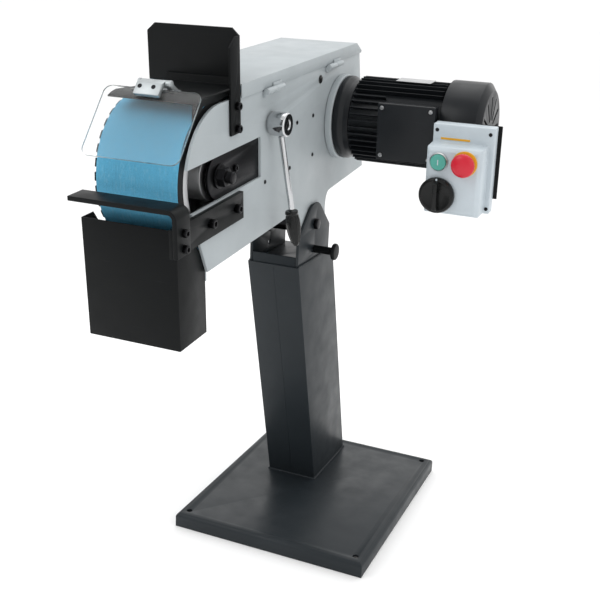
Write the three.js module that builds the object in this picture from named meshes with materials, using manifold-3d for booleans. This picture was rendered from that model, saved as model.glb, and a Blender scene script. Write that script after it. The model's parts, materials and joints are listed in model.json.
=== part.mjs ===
// Pedestal belt grinder: a contact-wheel belt head that tilts on a leaning column.
// Millimetres, +Z up. The origin is the centre of the base plate's underside, on the floor.
// The operator stands at -Y, and the motor is on the +X side.
// Everything on the head is drawn in the head's own frame: its origin is the tilt pivot, X runs
// along the wheel axles, Y from the contact wheel to the rear, and Z square to the head.
import * as THREE from "three";
import { mergeVertices } from "three/addons/utils/BufferGeometryUtils.js";
import Module from "manifold-3d";

const wasm = await Module();
wasm.setup();

// ---- Driving dimensions ----
const GAP = 0.3; // between pieces that touch
const deg = Math.PI / 180;

// Stand
const BASE = { width: 430, depth: 510, height: 32, sheet: 5, edge: 10, holeInset: 22, holeR: 6.5 };
const CROSSBAR = { length: 400, width: 60 };
const COLUMN = { left: -122, right: -7, frontY: 25, depth: 190, top: 584, lean: 15.2 * deg, wall: 4 };
const PIVOT = { y: -38, z: 659, boltR: 8, runGap: 0.08 };
const EAR = { thick: 6, inset: 3, halfWidth: 83, shoulder: -16, lowShoulder: -38, apex: 43, apexHalf: 14 };
const LOCK = { radius: 54, pinR: 6, sleeveR: 8, knobR: 17.5 };

// Head
const TILT = 4.65 * deg; // nose down at rest
const TILT_UP = 60 * deg; // nose-up travel
const PANEL = { out: -16.5, thick: 5, top: 320, bottom: 50, lugR: 69, arcR: 120 };
const PANEL_IN = PANEL.out - PANEL.thick;
const AXLE_Z = 198;
const CONTACT = { y: -394, r: 125, tyre: 16.7, overhang: 4.5 };
const DRIVE = { y: 141, r: 110 };
const BELT = { left: -179, right: -29, thick: 1.6, gap: 0.4 };
const SLOT = { low: 161, high: 235, rear: -246 };
const HOUSING = { left: -194, sheet: 2, front: -322, rearTop: 228, top: 339.5 };
const REAR = { topY: 251, topZ: 320, lowY: 292, lowZ: 55 };
const MOTOR = { r: 78, finR: 88, fins: 28, bodyStart: 32, bodyEnd: 225.7, cowlR: 95, cowlEnd: 308, shaftR: 14 };
const LEVER = { y: -206, z: 251, shaftR: 8, hubR: 22, out: 7.8 * deg, back: 2.7 * deg };
const HINGE = { x: -8.4, z: 313, r: 5.5, pinR: 2.9, half: 35, centres: { front: -202, rear: 90 } };
const REST = { front: -575, rear: -533, top: 190, thick: 8, left: -198, low: 112 };
const REST_BOLTS = { front: -451, rear: -359 };
const REST_TRAVEL = { out: 12, in: 8 };
const BIN = { left: -200, right: -22.5, front: -540, rear: -450.3, low: -64, high: 145, sheet: 2 };
const GUARD = { front: -366, rear: -331, sheet: 4, left: -186, low: 338, high: 432, boltY: -345 };
const VISOR = { left: -185, right: -8, length: 127, thick: 4, y: -466.5, z: 348, lean: -41.6 * deg };
const BOX = { left: 229, right: 349, low: 68, high: 234, back: 29.5, step: 4, face: -40, faceRight: 338 };
const START = { x: 256, z: 172, r: 15, bezelR: 18 };
const STOP = { x: 306, z: 173, r: 22.5, stemR: 9.5, collarR: 24 };
const SELECTOR = { x: 257, z: 108, r: 34.5 };

// ---- Materials ----
const finish = (color, roughness, metalness) => new THREE.MeshStandardMaterial({ color, roughness, metalness });
const charcoal = finish(0x3a3f44, 0.55, 0.3);
const lightGrey = finish(0xb9bdbf, 0.45, 0.2);
const blackPaint = finish(0x17191a, 0.5, 0.3);
const blackSteel = finish(0x1c1c1e, 0.45, 0.6);
const steel = finish(0x8c8f92, 0.35, 0.9);
const chrome = finish(0xd8dadd, 0.12, 1.0);
const aluminium = finish(0xa9abad, 0.35, 0.9);
const rubber = finish(0x121212, 0.85, 0.0);
const abrasive = finish(0x4f9cc0, 0.9, 0.0);
const motorPaint = finish(0x18191b, 0.45, 0.3);
const clearPlastic = finish(0xdfe6ea, 0.08, 0.0);
const greyPlastic = finish(0xcfd3da, 0.4, 0.0);
const blackPlastic = finish(0x101011, 0.35, 0.0);
const green = finish(0x2f9a7a, 0.4, 0.0);
const red = finish(0xd8262b, 0.35, 0.0);
const yellow = finish(0xe8b422, 0.45, 0.0);
const zinc = finish(0xa6abad, 0.4, 0.8);

// ---- Solids ----
function solid(geometry) {
  const plain = geometry.clone();
  plain.deleteAttribute("normal");
  plain.deleteAttribute("uv");
  const merged = mergeVertices(plain, 1e-4);
  return new wasm.Manifold(
    new wasm.Mesh({
      numProp: 3,
      vertProperties: merged.attributes.position.array,
      triVerts: new Uint32Array(merged.index.array),
    }),
  );
}

function geometryOf(body) {
  const mesh = body.getMesh();
  return new THREE.BufferGeometry()
    .setAttribute("position", new THREE.BufferAttribute(mesh.vertProperties, 3))
    .setIndex(new THREE.BufferAttribute(mesh.triVerts, 1));
}

const join = (...pieces) => geometryOf(pieces.map(solid).reduce((a, b) => a.add(b)));
const cut = (piece, ...tools) => geometryOf(tools.map(solid).reduce((a, b) => a.subtract(b), solid(piece)));
const common = (a, b) => geometryOf(solid(a).intersect(solid(b)));

function block([x0, x1], [y0, y1], [z0, z1]) {
  return new THREE.BoxGeometry(x1 - x0, y1 - y0, z1 - z0).translate((x0 + x1) / 2, (y0 + y1) / 2, (z0 + z1) / 2);
}

function outline(points) {
  return new THREE.Shape(points.map(([a, b]) => new THREE.Vector2(a, b)));
}

// A round hole whose flats stay outside the given radius, so a shaft of that radius passes.
function hole(a, b, radius, sides = 20) {
  const corner = radius / Math.cos(Math.PI / sides);
  const points = [];
  for (let i = 0; i < sides; i++) {
    const angle = (-2 * Math.PI * i) / sides;
    points.push(new THREE.Vector2(a + corner * Math.cos(angle), b + corner * Math.sin(angle)));
  }
  return new THREE.Path(points);
}

function slotHole(a0, a1, b, radius) {
  const path = new THREE.Path();
  path.absarc(a1, b, radius, -Math.PI / 2, Math.PI / 2, false);
  path.absarc(a0, b, radius, Math.PI / 2, 1.5 * Math.PI, false);
  return path;
}

function extrude(shape, depth, curveSegments) {
  return new THREE.ExtrudeGeometry(shape, { depth, curveSegments, bevelEnabled: false });
}

// A plate drawn in Y and Z, filling x0 to x1.
function plateX(shape, [x0, x1], curveSegments = 10) {
  const turn = new THREE.Matrix4().makeBasis(
    new THREE.Vector3(0, 1, 0),
    new THREE.Vector3(0, 0, 1),
    new THREE.Vector3(1, 0, 0),
  );
  return extrude(shape, x1 - x0, curveSegments).applyMatrix4(turn).translate(x0, 0, 0);
}

// A plate drawn in X and Z, filling y0 to y1.
function plateY(shape, [y0, y1], curveSegments = 8) {
  return extrude(shape, y1 - y0, curveSegments).rotateX(Math.PI / 2).translate(0, y1, 0);
}

// A turned solid about Z from [radius, z] points, closed on the axis or on itself.
function turned(profile, segments = 24) {
  const points = profile.map(([r, z]) => new THREE.Vector2(r, z));
  if (profile[0][0] > 0 || profile.at(-1)[0] > 0) points.push(points[0].clone());
  const area = points.reduce((sum, p, i) => {
    const q = points[(i + 1) % points.length];
    return sum + p.x * q.y - q.x * p.y;
  }, 0);
  if (area < 0) points.reverse();
  return new THREE.LatheGeometry(points, segments).rotateX(Math.PI / 2);
}

// The same about an axle along X, at y and z, from [radius, x] points.
const turnedX = (profile, y, z, segments) => turned(profile, segments).rotateY(Math.PI / 2).translate(0, y, z);

// The same along Y, at x and z, from [radius, y] points.
function turnedY(profile, x, z, segments) {
  return turned(profile, segments).rotateX(-Math.PI / 2).translate(x, 0, z);
}

const rod = (radius, from, to) => [[0, from], [radius, from], [radius, to], [0, to]];
const tube = (inner, outer, from, to) => [[inner, from], [outer, from], [outer, to], [inner, to]];

// A hexagonal prism along X.
function hexX(acrossFlats, from, to, y, z) {
  return turnedX(rod(acrossFlats / Math.sqrt(3), from, to), y, z, 6);
}

// A socket-head bolt along X: the head's underside is at the face, the shank goes towards -X.
function boltX(face, length, headR, shankR, y, z) {
  const head = headR * 1.1;
  const socket = headR * 0.55;
  return turnedX(
    [
      [0, face - length],
      [shankR, face - length],
      [shankR, face],
      [headR, face],
      [headR, face + head - 1],
      [headR - 1, face + head],
      [socket, face + head],
      [socket, face + head / 2],
      [0, face + head / 2],
    ],
    y,
    z,
    12,
  );
}

function piece(parent, name, geometry, material) {
  const mesh = new THREE.Mesh(geometry, material);
  mesh.name = name;
  parent.add(mesh);
  return mesh;
}

// ---- Stand ----
function basePlate() {
  const { width, depth, height, sheet, edge } = BASE;
  const rounded = (half) => {
    const shape = new THREE.Shape();
    shape.moveTo(-half, 0);
    shape.lineTo(half, 0);
    shape.absarc(half - edge, height - edge, edge, 0, Math.PI / 2, false);
    shape.absarc(-half + edge, height - edge, edge, Math.PI / 2, Math.PI, false);
    return shape;
  };
  const across = plateY(rounded(width / 2), [-depth / 2, depth / 2], 5);
  const along = plateX(rounded(depth / 2), [-width / 2, width / 2], 5);
  const hollow = block(
    [sheet - width / 2, width / 2 - sheet],
    [sheet - depth / 2, depth / 2 - sheet],
    [-1, height - sheet],
  );
  const holes = [];
  for (const sx of [-1, 1]) {
    for (const sy of [-1, 1]) {
      const drill = turned(rod(BASE.holeR, -1, height + 1), 20);
      drill.translate(sx * (width / 2 - BASE.holeInset), sy * (depth / 2 - BASE.holeInset), 0);
      holes.push(drill);
    }
  }
  return cut(common(across, along), hollow, ...holes);
}

function crossbar() {
  const { length, width } = CROSSBAR;
  return block([-length / 2, length / 2], [-width / 2, width / 2], [0, BASE.height - BASE.sheet - GAP]);
}

// A folded box column, open at its foot, with a low cross lip in front of the fork.
function column() {
  const foot = BASE.height + GAP;
  const shift = (COLUMN.top - foot) * Math.tan(COLUMN.lean);
  const side = (inset, low, high) => {
    const drift = (z) => ((z - foot) / (COLUMN.top - foot)) * shift;
    const front = COLUMN.frontY + inset;
    const back = COLUMN.frontY + COLUMN.depth - inset;
    return outline([
      [front - drift(low), low],
      [back - drift(low), low],
      [back - drift(high), high],
      [front - drift(high), high],
    ]);
  };
  const outer = plateX(side(0, foot, COLUMN.top), [COLUMN.left, COLUMN.right]);
  const inner = plateX(
    side(COLUMN.wall, foot - 5, COLUMN.top - COLUMN.wall),
    [COLUMN.left + COLUMN.wall, COLUMN.right - COLUMN.wall],
  );
  const lipX = [COLUMN.left + EAR.inset + EAR.thick + GAP, COLUMN.right - EAR.inset - EAR.thick - GAP];
  const lipY = PIVOT.y - EAR.halfWidth;
  const lip = block(lipX, [lipY, lipY + 4], [COLUMN.top - 1, COLUMN.top + 20]);
  return join(cut(outer, inner), lip);
}

// One cheek of the fork, with the pivot hole and the lock screw's hole below it. The left cheek's
// rear shoulder is lower, because the housing floor swings down over it.
function ear(x0, rearShoulder) {
  const { halfWidth: w, shoulder, apex, apexHalf } = EAR;
  const foot = COLUMN.top + GAP - PIVOT.z;
  const shape = outline([
    [-w, foot],
    [w, foot],
    [w, rearShoulder],
    [apexHalf + 12, apex - 6],
    [apexHalf, apex],
    [-apexHalf, apex],
    [-apexHalf - 12, apex - 6],
    [-w, shoulder],
  ]);
  shape.holes.push(hole(0, 0, PIVOT.boltR + PIVOT.runGap), hole(0, -LOCK.radius, LOCK.pinR + GAP));
  return plateX(shape, [x0, x0 + EAR.thick]).translate(0, PIVOT.y, PIVOT.z);
}

const earRightX = COLUMN.right - EAR.inset - EAR.thick;
const earLeftX = COLUMN.left + EAR.inset;

function pivotBolt() {
  const rightFace = earRightX + EAR.thick + GAP;
  const leftFace = earLeftX - GAP;
  const shank = turnedX(rod(PIVOT.boltR, leftFace - 13, rightFace + 4), 0, 0);
  const head = hexX(20, rightFace, rightFace + 8, 0, 0);
  const nut = hexX(20, leftFace - 10, leftFace, 0, 0);
  return join(shank, head, nut).translate(0, PIVOT.y, PIVOT.z);
}

function lockScrew() {
  const face = earRightX + EAR.thick + GAP;
  const profile = [
    [0, PANEL_IN - 6],
    [LOCK.pinR, PANEL_IN - 6],
    [LOCK.pinR, face],
    [LOCK.sleeveR, face],
    [LOCK.sleeveR, 33],
    [LOCK.knobR - 1, 33],
    [LOCK.knobR, 34],
    [LOCK.knobR, 39],
    [LOCK.knobR - 2, 41],
    [0, 41],
  ];
  return turnedX(profile, PIVOT.y, PIVOT.z - LOCK.radius, 20);
}

// ---- Head frame ----
// The arc that the lock screw follows as the head tilts nose up.
function lockSlot() {
  const half = LOCK.pinR + 0.4;
  const from = -Math.PI / 2 - TILT;
  const to = from + TILT_UP;
  const at = (angle) => [LOCK.radius * Math.cos(angle), LOCK.radius * Math.sin(angle)];
  const path = new THREE.Path();
  path.absarc(0, 0, LOCK.radius + half, from, to, false);
  path.absarc(...at(to), half, to, to + Math.PI, false);
  path.absarc(0, 0, LOCK.radius - half, to, from, true);
  path.absarc(...at(from), half, from + Math.PI, from + 2 * Math.PI, false);
  return path;
}

function sidePanel() {
  const { top, bottom, lugR, arcR } = PANEL;
  const slotHigh = Math.asin((SLOT.high - AXLE_Z - 2) / arcR);
  const shape = new THREE.Shape();
  shape.moveTo(-498, SLOT.low);
  shape.lineTo(-452, bottom - 2);
  shape.lineTo(-93, bottom);
  shape.quadraticCurveTo(-70, bottom, -67.5, 14.3);
  shape.absarc(0, 0, lugR, 168 * deg, 372 * deg, false);
  shape.quadraticCurveTo(70, bottom, 93, bottom);
  shape.lineTo(REAR.lowY, REAR.lowZ);
  shape.lineTo(REAR.topY, REAR.topZ);
  shape.absarc(CONTACT.y, AXLE_Z + 2, arcR, Math.PI / 2, Math.PI - slotHigh, false);
  shape.lineTo(SLOT.rear, SLOT.high);
  shape.lineTo(SLOT.rear, SLOT.low);
  shape.holes.push(
    lockSlot(),
    hole(0, 0, PIVOT.boltR + PIVOT.runGap),
    hole(DRIVE.y, AXLE_Z, 52, 36),
    hole(LEVER.y, LEVER.z, LEVER.shaftR + 0.1),
    hole(REST_BOLTS.front, 134, 4.3),
    hole(REST_BOLTS.rear, 134, 4.3),
    hole(GUARD.boltY, 269, 4.3),
    hole(GUARD.boltY, 307, 4.3),
  );
  const plate = plateX(shape, [PANEL_IN, PANEL.out], 10);
  const guides = [
    block([-27.2, PANEL_IN + 1], [-340, -150], [147, 157.6]),
    block([-27.2, PANEL_IN + 1], [-340, -225], [238.4, 248]),
  ];
  const springAnchor = block([-75, PANEL_IN + 1], [-62, -50], [180, 216]);
  return join(plate, ...guides, springAnchor);
}

const insideX = [HOUSING.left + HOUSING.sheet + 3, PANEL_IN - GAP];

// The floor of the housing. Its left edge is turned up and grows into the nose wall beside the
// contact wheel, and its front rail carries the bin.
function housingFloor() {
  const { bottom } = PANEL;
  const edge = new THREE.Shape();
  edge.moveTo(-440, bottom);
  edge.lineTo(286, bottom);
  edge.lineTo(286, bottom + 22);
  edge.lineTo(HOUSING.front - 2, bottom + 22);
  edge.lineTo(HOUSING.front - 2, 290);
  edge.absarc(CONTACT.y, AXLE_Z + 2, 96, 70 * deg, 235 * deg, false);
  return join(
    block(insideX, [-449, 288], [bottom, bottom + 2.5]),
    plateX(edge, [insideX[0], insideX[0] + 2], 12),
    block(insideX, [-450, -447], [bottom - 20, bottom + 12]),
  );
}

const PORT = { x: -106, z: 160, r: 50, length: 42 };
const rearSlope = Math.atan2(REAR.lowY - REAR.topY, REAR.topZ - REAR.lowZ);
const rearYAt = (z) => REAR.topY + (REAR.topZ - z) * Math.tan(rearSlope);

function rearWall() {
  const low = PANEL.bottom + 2.5 + GAP;
  const shape = outline([
    [rearYAt(low) - 3, low],
    [rearYAt(low), low],
    [rearYAt(318), 318],
    [rearYAt(318) - 3, 318],
  ]);
  const mouth = turnedY(rod(PORT.r - 3, -30, 30), 0, 0, 36).rotateX(rearSlope);
  mouth.translate(PORT.x, rearYAt(PORT.z), PORT.z);
  return cut(plateX(shape, insideX), mouth);
}

// The spigot that an extraction hose pushes onto.
function dustPort() {
  const profile = [
    [PORT.r - 3, GAP],
    [PORT.r + 10, GAP],
    [PORT.r + 10, 3.3],
    [PORT.r, 3.3],
    [PORT.r, PORT.length],
    [PORT.r - 3, PORT.length],
  ];
  return turnedY(profile, 0, 0, 36).rotateX(rearSlope).translate(PORT.x, rearYAt(PORT.z), PORT.z);
}

// The tube that turns on the pivot bolt, with the left lug under the floor.
function pivotTube() {
  const left = earLeftX + EAR.thick + GAP;
  const bore = PIVOT.boltR + PIVOT.runGap;
  const barrel = turnedX(tube(bore, 22, left, PANEL_IN - GAP), 0, 0);
  const lug = new THREE.Shape();
  lug.moveTo(45, PANEL.bottom - GAP);
  lug.lineTo(-45, PANEL.bottom - GAP);
  lug.absarc(0, 0, 30, 165 * deg, 375 * deg, false);
  lug.holes.push(hole(0, 0, 15));
  return join(barrel, plateX(lug, [left, left + 6], 8));
}

// ---- Belt and wheels ----
function loopPath(shape, contactR, driveR) {
  const lean = Math.asin((CONTACT.r - DRIVE.r) / (DRIVE.y - CONTACT.y));
  const tangent = Math.PI / 2 - lean;
  shape.absarc(CONTACT.y, AXLE_Z, contactR, tangent, 2 * Math.PI - tangent, false);
  shape.absarc(DRIVE.y, AXLE_Z, driveR, -tangent, tangent, false);
  return shape;
}

function abrasiveBelt() {
  const shape = loopPath(new THREE.Shape(), CONTACT.r + BELT.gap + BELT.thick, DRIVE.r + BELT.gap + BELT.thick);
  shape.holes.push(loopPath(new THREE.Path(), CONTACT.r + BELT.gap, DRIVE.r + BELT.gap));
  return plateX(shape, [BELT.left, BELT.right], 17);
}

const rimR = CONTACT.r - CONTACT.tyre;

function contactHub() {
  const profile = [
    [26, -146],
    [36, -146],
    [36, -112],
    [94, -112],
    [94, BELT.left],
    [rimR - GAP, BELT.left],
    [rimR - GAP, BELT.right],
    [94, BELT.right],
    [94, -96],
    [43, -96],
    [43, -36],
    [26, -36],
  ];
  return turnedX(profile, CONTACT.y, AXLE_Z, 40);
}

// The tyre stands out past the belt's left edge.
function contactTyre() {
  const chamfer = 2;
  const left = BELT.left - CONTACT.overhang;
  const profile = [
    [rimR, left],
    [CONTACT.r - chamfer, left],
    [CONTACT.r, left + chamfer],
    [CONTACT.r, BELT.right - chamfer],
    [CONTACT.r - chamfer, BELT.right],
    [rimR, BELT.right],
  ];
  return turnedX(profile, CONTACT.y, AXLE_Z, 52);
}

const bearing = (x) => turnedX(tube(12.6, 25.7, x, x + 15), CONTACT.y, AXLE_Z, 24);

function driveWheel() {
  const profile = [
    [14.3, -140],
    [30, -140],
    [30, -112],
    [98, -112],
    [98, BELT.left],
    [DRIVE.r, BELT.left],
    [DRIVE.r, BELT.right],
    [98, BELT.right],
    [98, -98],
    [30, -98],
    [30, -62],
    [14.3, -62],
  ];
  return turnedX(profile, DRIVE.y, AXLE_Z, 40);
}

// ---- Tension carriage ----
const carriageX = [-27.2, -21.9];

// The plate that slides behind the slot and carries the axle; its thick block runs inside the belt.
function carriagePlate() {
  const shape = new THREE.Shape();
  shape.absarc(CONTACT.y, AXLE_Z, 40, Math.PI / 2, 1.5 * Math.PI, false);
  shape.lineTo(-150, AXLE_Z - 40);
  shape.lineTo(-150, AXLE_Z + 40);
  shape.holes.push(hole(CONTACT.y, AXLE_Z, 12.8));
  const body = block([-75, carriageX[0] + 1], [-235, -150], [168, 228]);
  return join(plateX(shape, carriageX, 12), body);
}

function axle() {
  const profile = [
    [0, -156],
    [17, -156],
    [17, -148],
    [12.5, -148],
    [12.5, -35],
    [18, -35],
    [18, carriageX[0] - GAP],
    [12.5, carriageX[0] - GAP],
    [12.5, carriageX[1]],
    [10, carriageX[1]],
    [10, 4],
    [8.5, 6],
    [0, 6],
  ];
  return turnedX(profile, CONTACT.y, AXLE_Z, 24);
}

function axleNut() {
  const nut = hexX(30, carriageX[1] + GAP, -6, CONTACT.y, AXLE_Z);
  const washer = turnedX(rod(21, carriageX[1] + GAP, carriageX[1] + 3), CONTACT.y, AXLE_Z, 24);
  return cut(join(nut, washer), turnedX(rod(10.3, -40, 10), CONTACT.y, AXLE_Z, 28));
}

// The coil spring that pushes the carriage forward, drawn as a swept helix.
function tensionSpring() {
  const front = -150 + 2.4;
  const back = -62 - 2.4;
  const coils = 7;
  class Coil extends THREE.Curve {
    getPoint(t) {
      const turn = coils * 2 * Math.PI * t;
      return new THREE.Vector3(-50 + 13 * Math.cos(turn), front + (back - front) * t, AXLE_Z + 13 * Math.sin(turn));
    }
  }
  const wire = new THREE.Shape();
  wire.absarc(0, 0, 2, 0, 2 * Math.PI, false);
  return new THREE.ExtrudeGeometry(wire, {
    steps: coils * 8,
    curveSegments: 3,
    extrudePath: new Coil(),
    bevelEnabled: false,
  });
}

// ---- Tension lever ----
function leverHub() {
  const profile = [
    [0, -60],
    [LEVER.shaftR, -60],
    [LEVER.shaftR, PANEL.out + GAP],
    [LEVER.hubR - 2, PANEL.out + GAP],
    [LEVER.hubR, PANEL.out + 2],
    [LEVER.hubR - 2, 12],
    [LEVER.hubR - 6, 19],
    [0, 20],
  ];
  const cam = turnedX(rod(11, -58, -44), LEVER.y, LEVER.z + 4, 24);
  return join(turnedX(profile, LEVER.y, LEVER.z, 24), cam);
}

const leverRod = () => turned([[0, -22.5], [5.5, -22.5], [5.5, -190], [0, -190]], 16);

function leverGrip() {
  return turned(
    [
      [0, -190 - GAP],
      [5.5 + GAP, -190 - GAP],
      [5.5 + GAP, -164],
      [11.5, -164],
      [12.5, -168],
      [14.5, -188],
      [13, -210],
      [6.5, -230],
      [0, -232.5],
    ],
    24,
  );
}

// ---- Belt cover and its hinges ----
// The cover is the roof, the left side and a short right edge, bent from one sheet.
function beltCover() {
  const { left, sheet, front, rearTop, top } = HOUSING;
  const right = PANEL.out + GAP + sheet;
  const roof = outline([
    [front, top],
    [rearTop, top],
    [258, 320],
    [256.6, 318.4],
    [rearTop - 0.6, top - sheet],
    [front, top - sheet],
  ]);
  const edge = outline([
    [front, 316],
    [255, 316],
    [258, 320],
    [rearTop, top],
    [front, top],
  ]);
  const wall = outline([
    [front, top],
    [front, PANEL.bottom + 6],
    [REAR.lowY, PANEL.bottom + 6],
    [258, 320],
    [rearTop, top],
  ]);
  return join(
    plateX(roof, [left, right]),
    plateX(wall, [left, left + sheet]),
    plateX(edge, [right - sheet, right]),
  );
}

// One leaf on the panel, with half of the barrel and the pin; the other half is on the cover.
function hingeLeaf(centre) {
  const { x, z, r, pinR, half } = HINGE;
  const barrel = turnedY(rod(r, centre - half, centre - 0.2), x, z, 14);
  const pin = turnedY(rod(pinR, centre - 1, centre + half + 2), x, z, 14);
  const leaf = block([PANEL.out + GAP, x - 2], [centre - half, centre - 0.2], [z - 10, z]);
  return join(barrel, pin, leaf);
}

function coverKnuckle(centre) {
  const { x, z, r, pinR, half } = HINGE;
  const barrel = turnedY(tube(pinR + 0.1, r, centre + 0.2, centre + half), x, z, 14);
  const face = PANEL.out + 2 * GAP + HOUSING.sheet;
  const leaf = block([face, x - 3.2], [centre + 0.2, centre + half], [z + 1.5, z + 10]);
  return join(barrel, leaf);
}

// ---- Guard, deflector and visor ----
function guardPlate() {
  const { front, rear, sheet, left, low, high } = GUARD;
  const right = PANEL.out + GAP + sheet;
  const face = outline([
    [left, low],
    [right, low],
    [right, high - 12],
    [right - 13, high],
    [left + 15, high],
    [left, high - 13],
  ]);
  const flange = outline([
    [front, 260],
    [rear - 6, 260],
    [rear, 264],
    [rear, high - 12],
    [rear - 13, high - 12],
    [front, high - 28],
  ]);
  flange.holes.push(hole(GUARD.boltY, 269, 4.3), hole(GUARD.boltY, 307, 4.3));
  return join(plateY(face, [rear - sheet, rear]), plateX(flange, [right - sheet, right]));
}

const guardBolt = (z) => boltX(PANEL.out + GAP + GUARD.sheet + GAP, 14, 7, 4, GUARD.boltY, z);

// The sloping shelf over the contact wheel that stops sparks and carries the visor.
function deflector() {
  const back = GUARD.rear - GUARD.sheet - GAP;
  const shelf = outline([
    [back, 337],
    [back, 352],
    [back - 3, 352],
    [back - 3, 340],
    [-455, 340],
    [-474.5, 333],
    [-473.5, 330.2],
    [-454.5, 337],
  ]);
  const cheek = outline([
    [back, 338],
    [-455, 338],
    [-472, 331],
    [-476, 302],
    [-440, 322],
    [back, 324],
  ]);
  const corner = outline([[-190, -500], [-150, -380], [-150, -330], [-190, -330]]);
  const flangeRoom = block([PANEL.out, -12], [GUARD.front - 2, back + 1], [330, 360]);
  const leftCorner = extrude(corner, 40, 1).translate(0, 0, 320);
  return join(cut(plateX(shelf, [-178, -13]), leftCorner, flangeRoom), plateX(cheek, [-24.5, -22.5]));
}

const visorPin = { y: 1, z: 12, r: 3 };

// Everything on the visor hangs from the hinge line, so it is drawn in the visor's leaning frame.
function visorFrame() {
  const frame = new THREE.Group();
  frame.position.set(0, VISOR.y, VISOR.z);
  frame.rotation.x = VISOR.lean;
  return frame;
}

function visorPane() {
  const { left, right, length, thick } = VISOR;
  const r = 14;
  const shape = new THREE.Shape();
  shape.absarc(left + r, -length + r, r, Math.PI, 1.5 * Math.PI, false);
  shape.absarc(right - r, -length + r, r, 1.5 * Math.PI, 2 * Math.PI, false);
  shape.absarc(right - r, -r, r, 0, Math.PI / 2, false);
  shape.absarc(left + r, -r, r, Math.PI / 2, Math.PI, false);
  return plateY(shape, [-thick / 2, thick / 2], 5);
}

// The hinge block that clamps the pane and turns on the pin.
function visorClamp() {
  const profile = outline([
    [-10.5, -16],
    [-2.3, -16],
    [-2.3, 3],
    [4, 6],
    [6, 12],
    [4, 17],
    [-2, 17],
    [-10.5, 5],
  ]);
  profile.holes.push(hole(visorPin.y, visorPin.z, visorPin.r + 0.1));
  return plateX(profile, [-124, -78]);
}

// Two ears and the pin, standing on the deflector.
function visorBracket() {
  const along = { y: Math.cos(VISOR.lean), z: Math.sin(VISOR.lean) };
  const y = VISOR.y + visorPin.y * along.y - visorPin.z * along.z;
  const z = VISOR.z + visorPin.y * along.z + visorPin.z * along.y;
  const foot = 340 + GAP;
  const cheek = new THREE.Shape();
  cheek.moveTo(-450, foot);
  cheek.lineTo(-432, foot);
  cheek.absarc(y, z, 6, -10 * deg, 200 * deg, false);
  return join(
    turnedX(rod(visorPin.r, -128, -68), y, z, 12),
    plateX(cheek, [-128, -124.5]),
    plateX(cheek, [-77.5, -68]),
    block([-128, -68], [-449, -430], [foot, foot + 3]),
  );
}

// ---- Tool rest ----
function restPlate() {
  const { front, rear, top, thick, left, low } = REST;
  const right = PANEL.out + GAP + 2 * thick + GAP;
  const bend = 16;
  const shape = new THREE.Shape();
  shape.moveTo(left, top);
  shape.lineTo(left, top - thick);
  shape.lineTo(right - bend, top - thick);
  shape.absarc(right - bend, top - bend, bend - thick, Math.PI / 2, 0, true);
  shape.lineTo(right - thick, low);
  shape.lineTo(right, low);
  shape.absarc(right - bend, top - bend, bend, 0, Math.PI / 2, false);
  return plateY(shape, [front, rear], 7);
}

const restLegX = PANEL.out + GAP + REST.thick + GAP;

function restBar() {
  const shape = outline([
    [-572, 110],
    [-333, 110],
    [-333, 158],
    [-572, 158],
  ]);
  for (const y of Object.values(REST_BOLTS)) {
    shape.holes.push(slotHole(y - REST_TRAVEL.in, y + REST_TRAVEL.out, 134, 4.4));
  }
  return plateX(shape, [PANEL.out + GAP, restLegX - GAP]);
}

const restBolt = (y) => boltX(restLegX, 17, 8, 4, y, 134);

// The leg's bolts stand on its outer face, over blind ends that stop at the surface.
const legBolt = (z) => boltX(restLegX + REST.thick + GAP, 0, 7, 4, (REST.front + REST.rear) / 2, z);

// ---- Spark bin ----
function sparkBin() {
  const { left, right, front, rear, low, high, sheet } = BIN;
  const side = outline([
    [front, low],
    [rear, low],
    [rear, 62],
    [-507, high],
    [front, high],
  ]);
  const whole = plateX(side, [left, right]);
  const hollow = block([left + sheet, right - sheet], [front + sheet, rear - sheet], [low + sheet, high + 5]);
  return cut(whole, hollow);
}

// ---- Motor ----
const onAxis = (profile, segments = 32) => turnedX(profile, DRIVE.y, AXLE_Z, segments);

const motorRing = () => onAxis(tube(60, 88, PANEL.out + GAP, -2), 36);

function motorFlange() {
  return onAxis(
    [
      [MOTOR.shaftR + 0.3, -2 + GAP],
      [84, -2 + GAP],
      [86, 2],
      [86, 12],
      [80, 20],
      [80, MOTOR.bodyStart - GAP],
      [MOTOR.shaftR + 0.3, MOTOR.bodyStart - GAP],
    ],
    36,
  );
}

// A ribbed barrel: no ribs where the terminal box sits on the front.
function motorBody() {
  const shape = new THREE.Shape();
  for (let i = 0; i < MOTOR.fins; i++) {
    const angle = (i / MOTOR.fins) * 2 * Math.PI;
    const bare = Math.abs(angle - Math.PI) < 46 * deg;
    const tip = bare ? MOTOR.r : MOTOR.finR;
    const at = (radius, offset) => [
      DRIVE.y + radius * Math.cos(angle + offset),
      AXLE_Z + radius * Math.sin(angle + offset),
    ];
    const corners = [at(MOTOR.r, -1.6 * deg), at(tip, -1.2 * deg), at(tip, 1.2 * deg), at(MOTOR.r, 1.6 * deg)];
    for (const corner of corners) {
      if (i === 0 && corner === corners[0]) shape.moveTo(...corner);
      else shape.lineTo(...corner);
    }
  }
  shape.holes.push(hole(DRIVE.y, AXLE_Z, MOTOR.shaftR + 0.3));
  return plateX(shape, [MOTOR.bodyStart, MOTOR.bodyEnd]);
}

function terminalBox() {
  const body = block([112, 221], [30, 62.5], [150, 254]);
  const lid = block([108, 225], [24.5, 31], [146, 258]);
  return join(body, lid);
}

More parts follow.
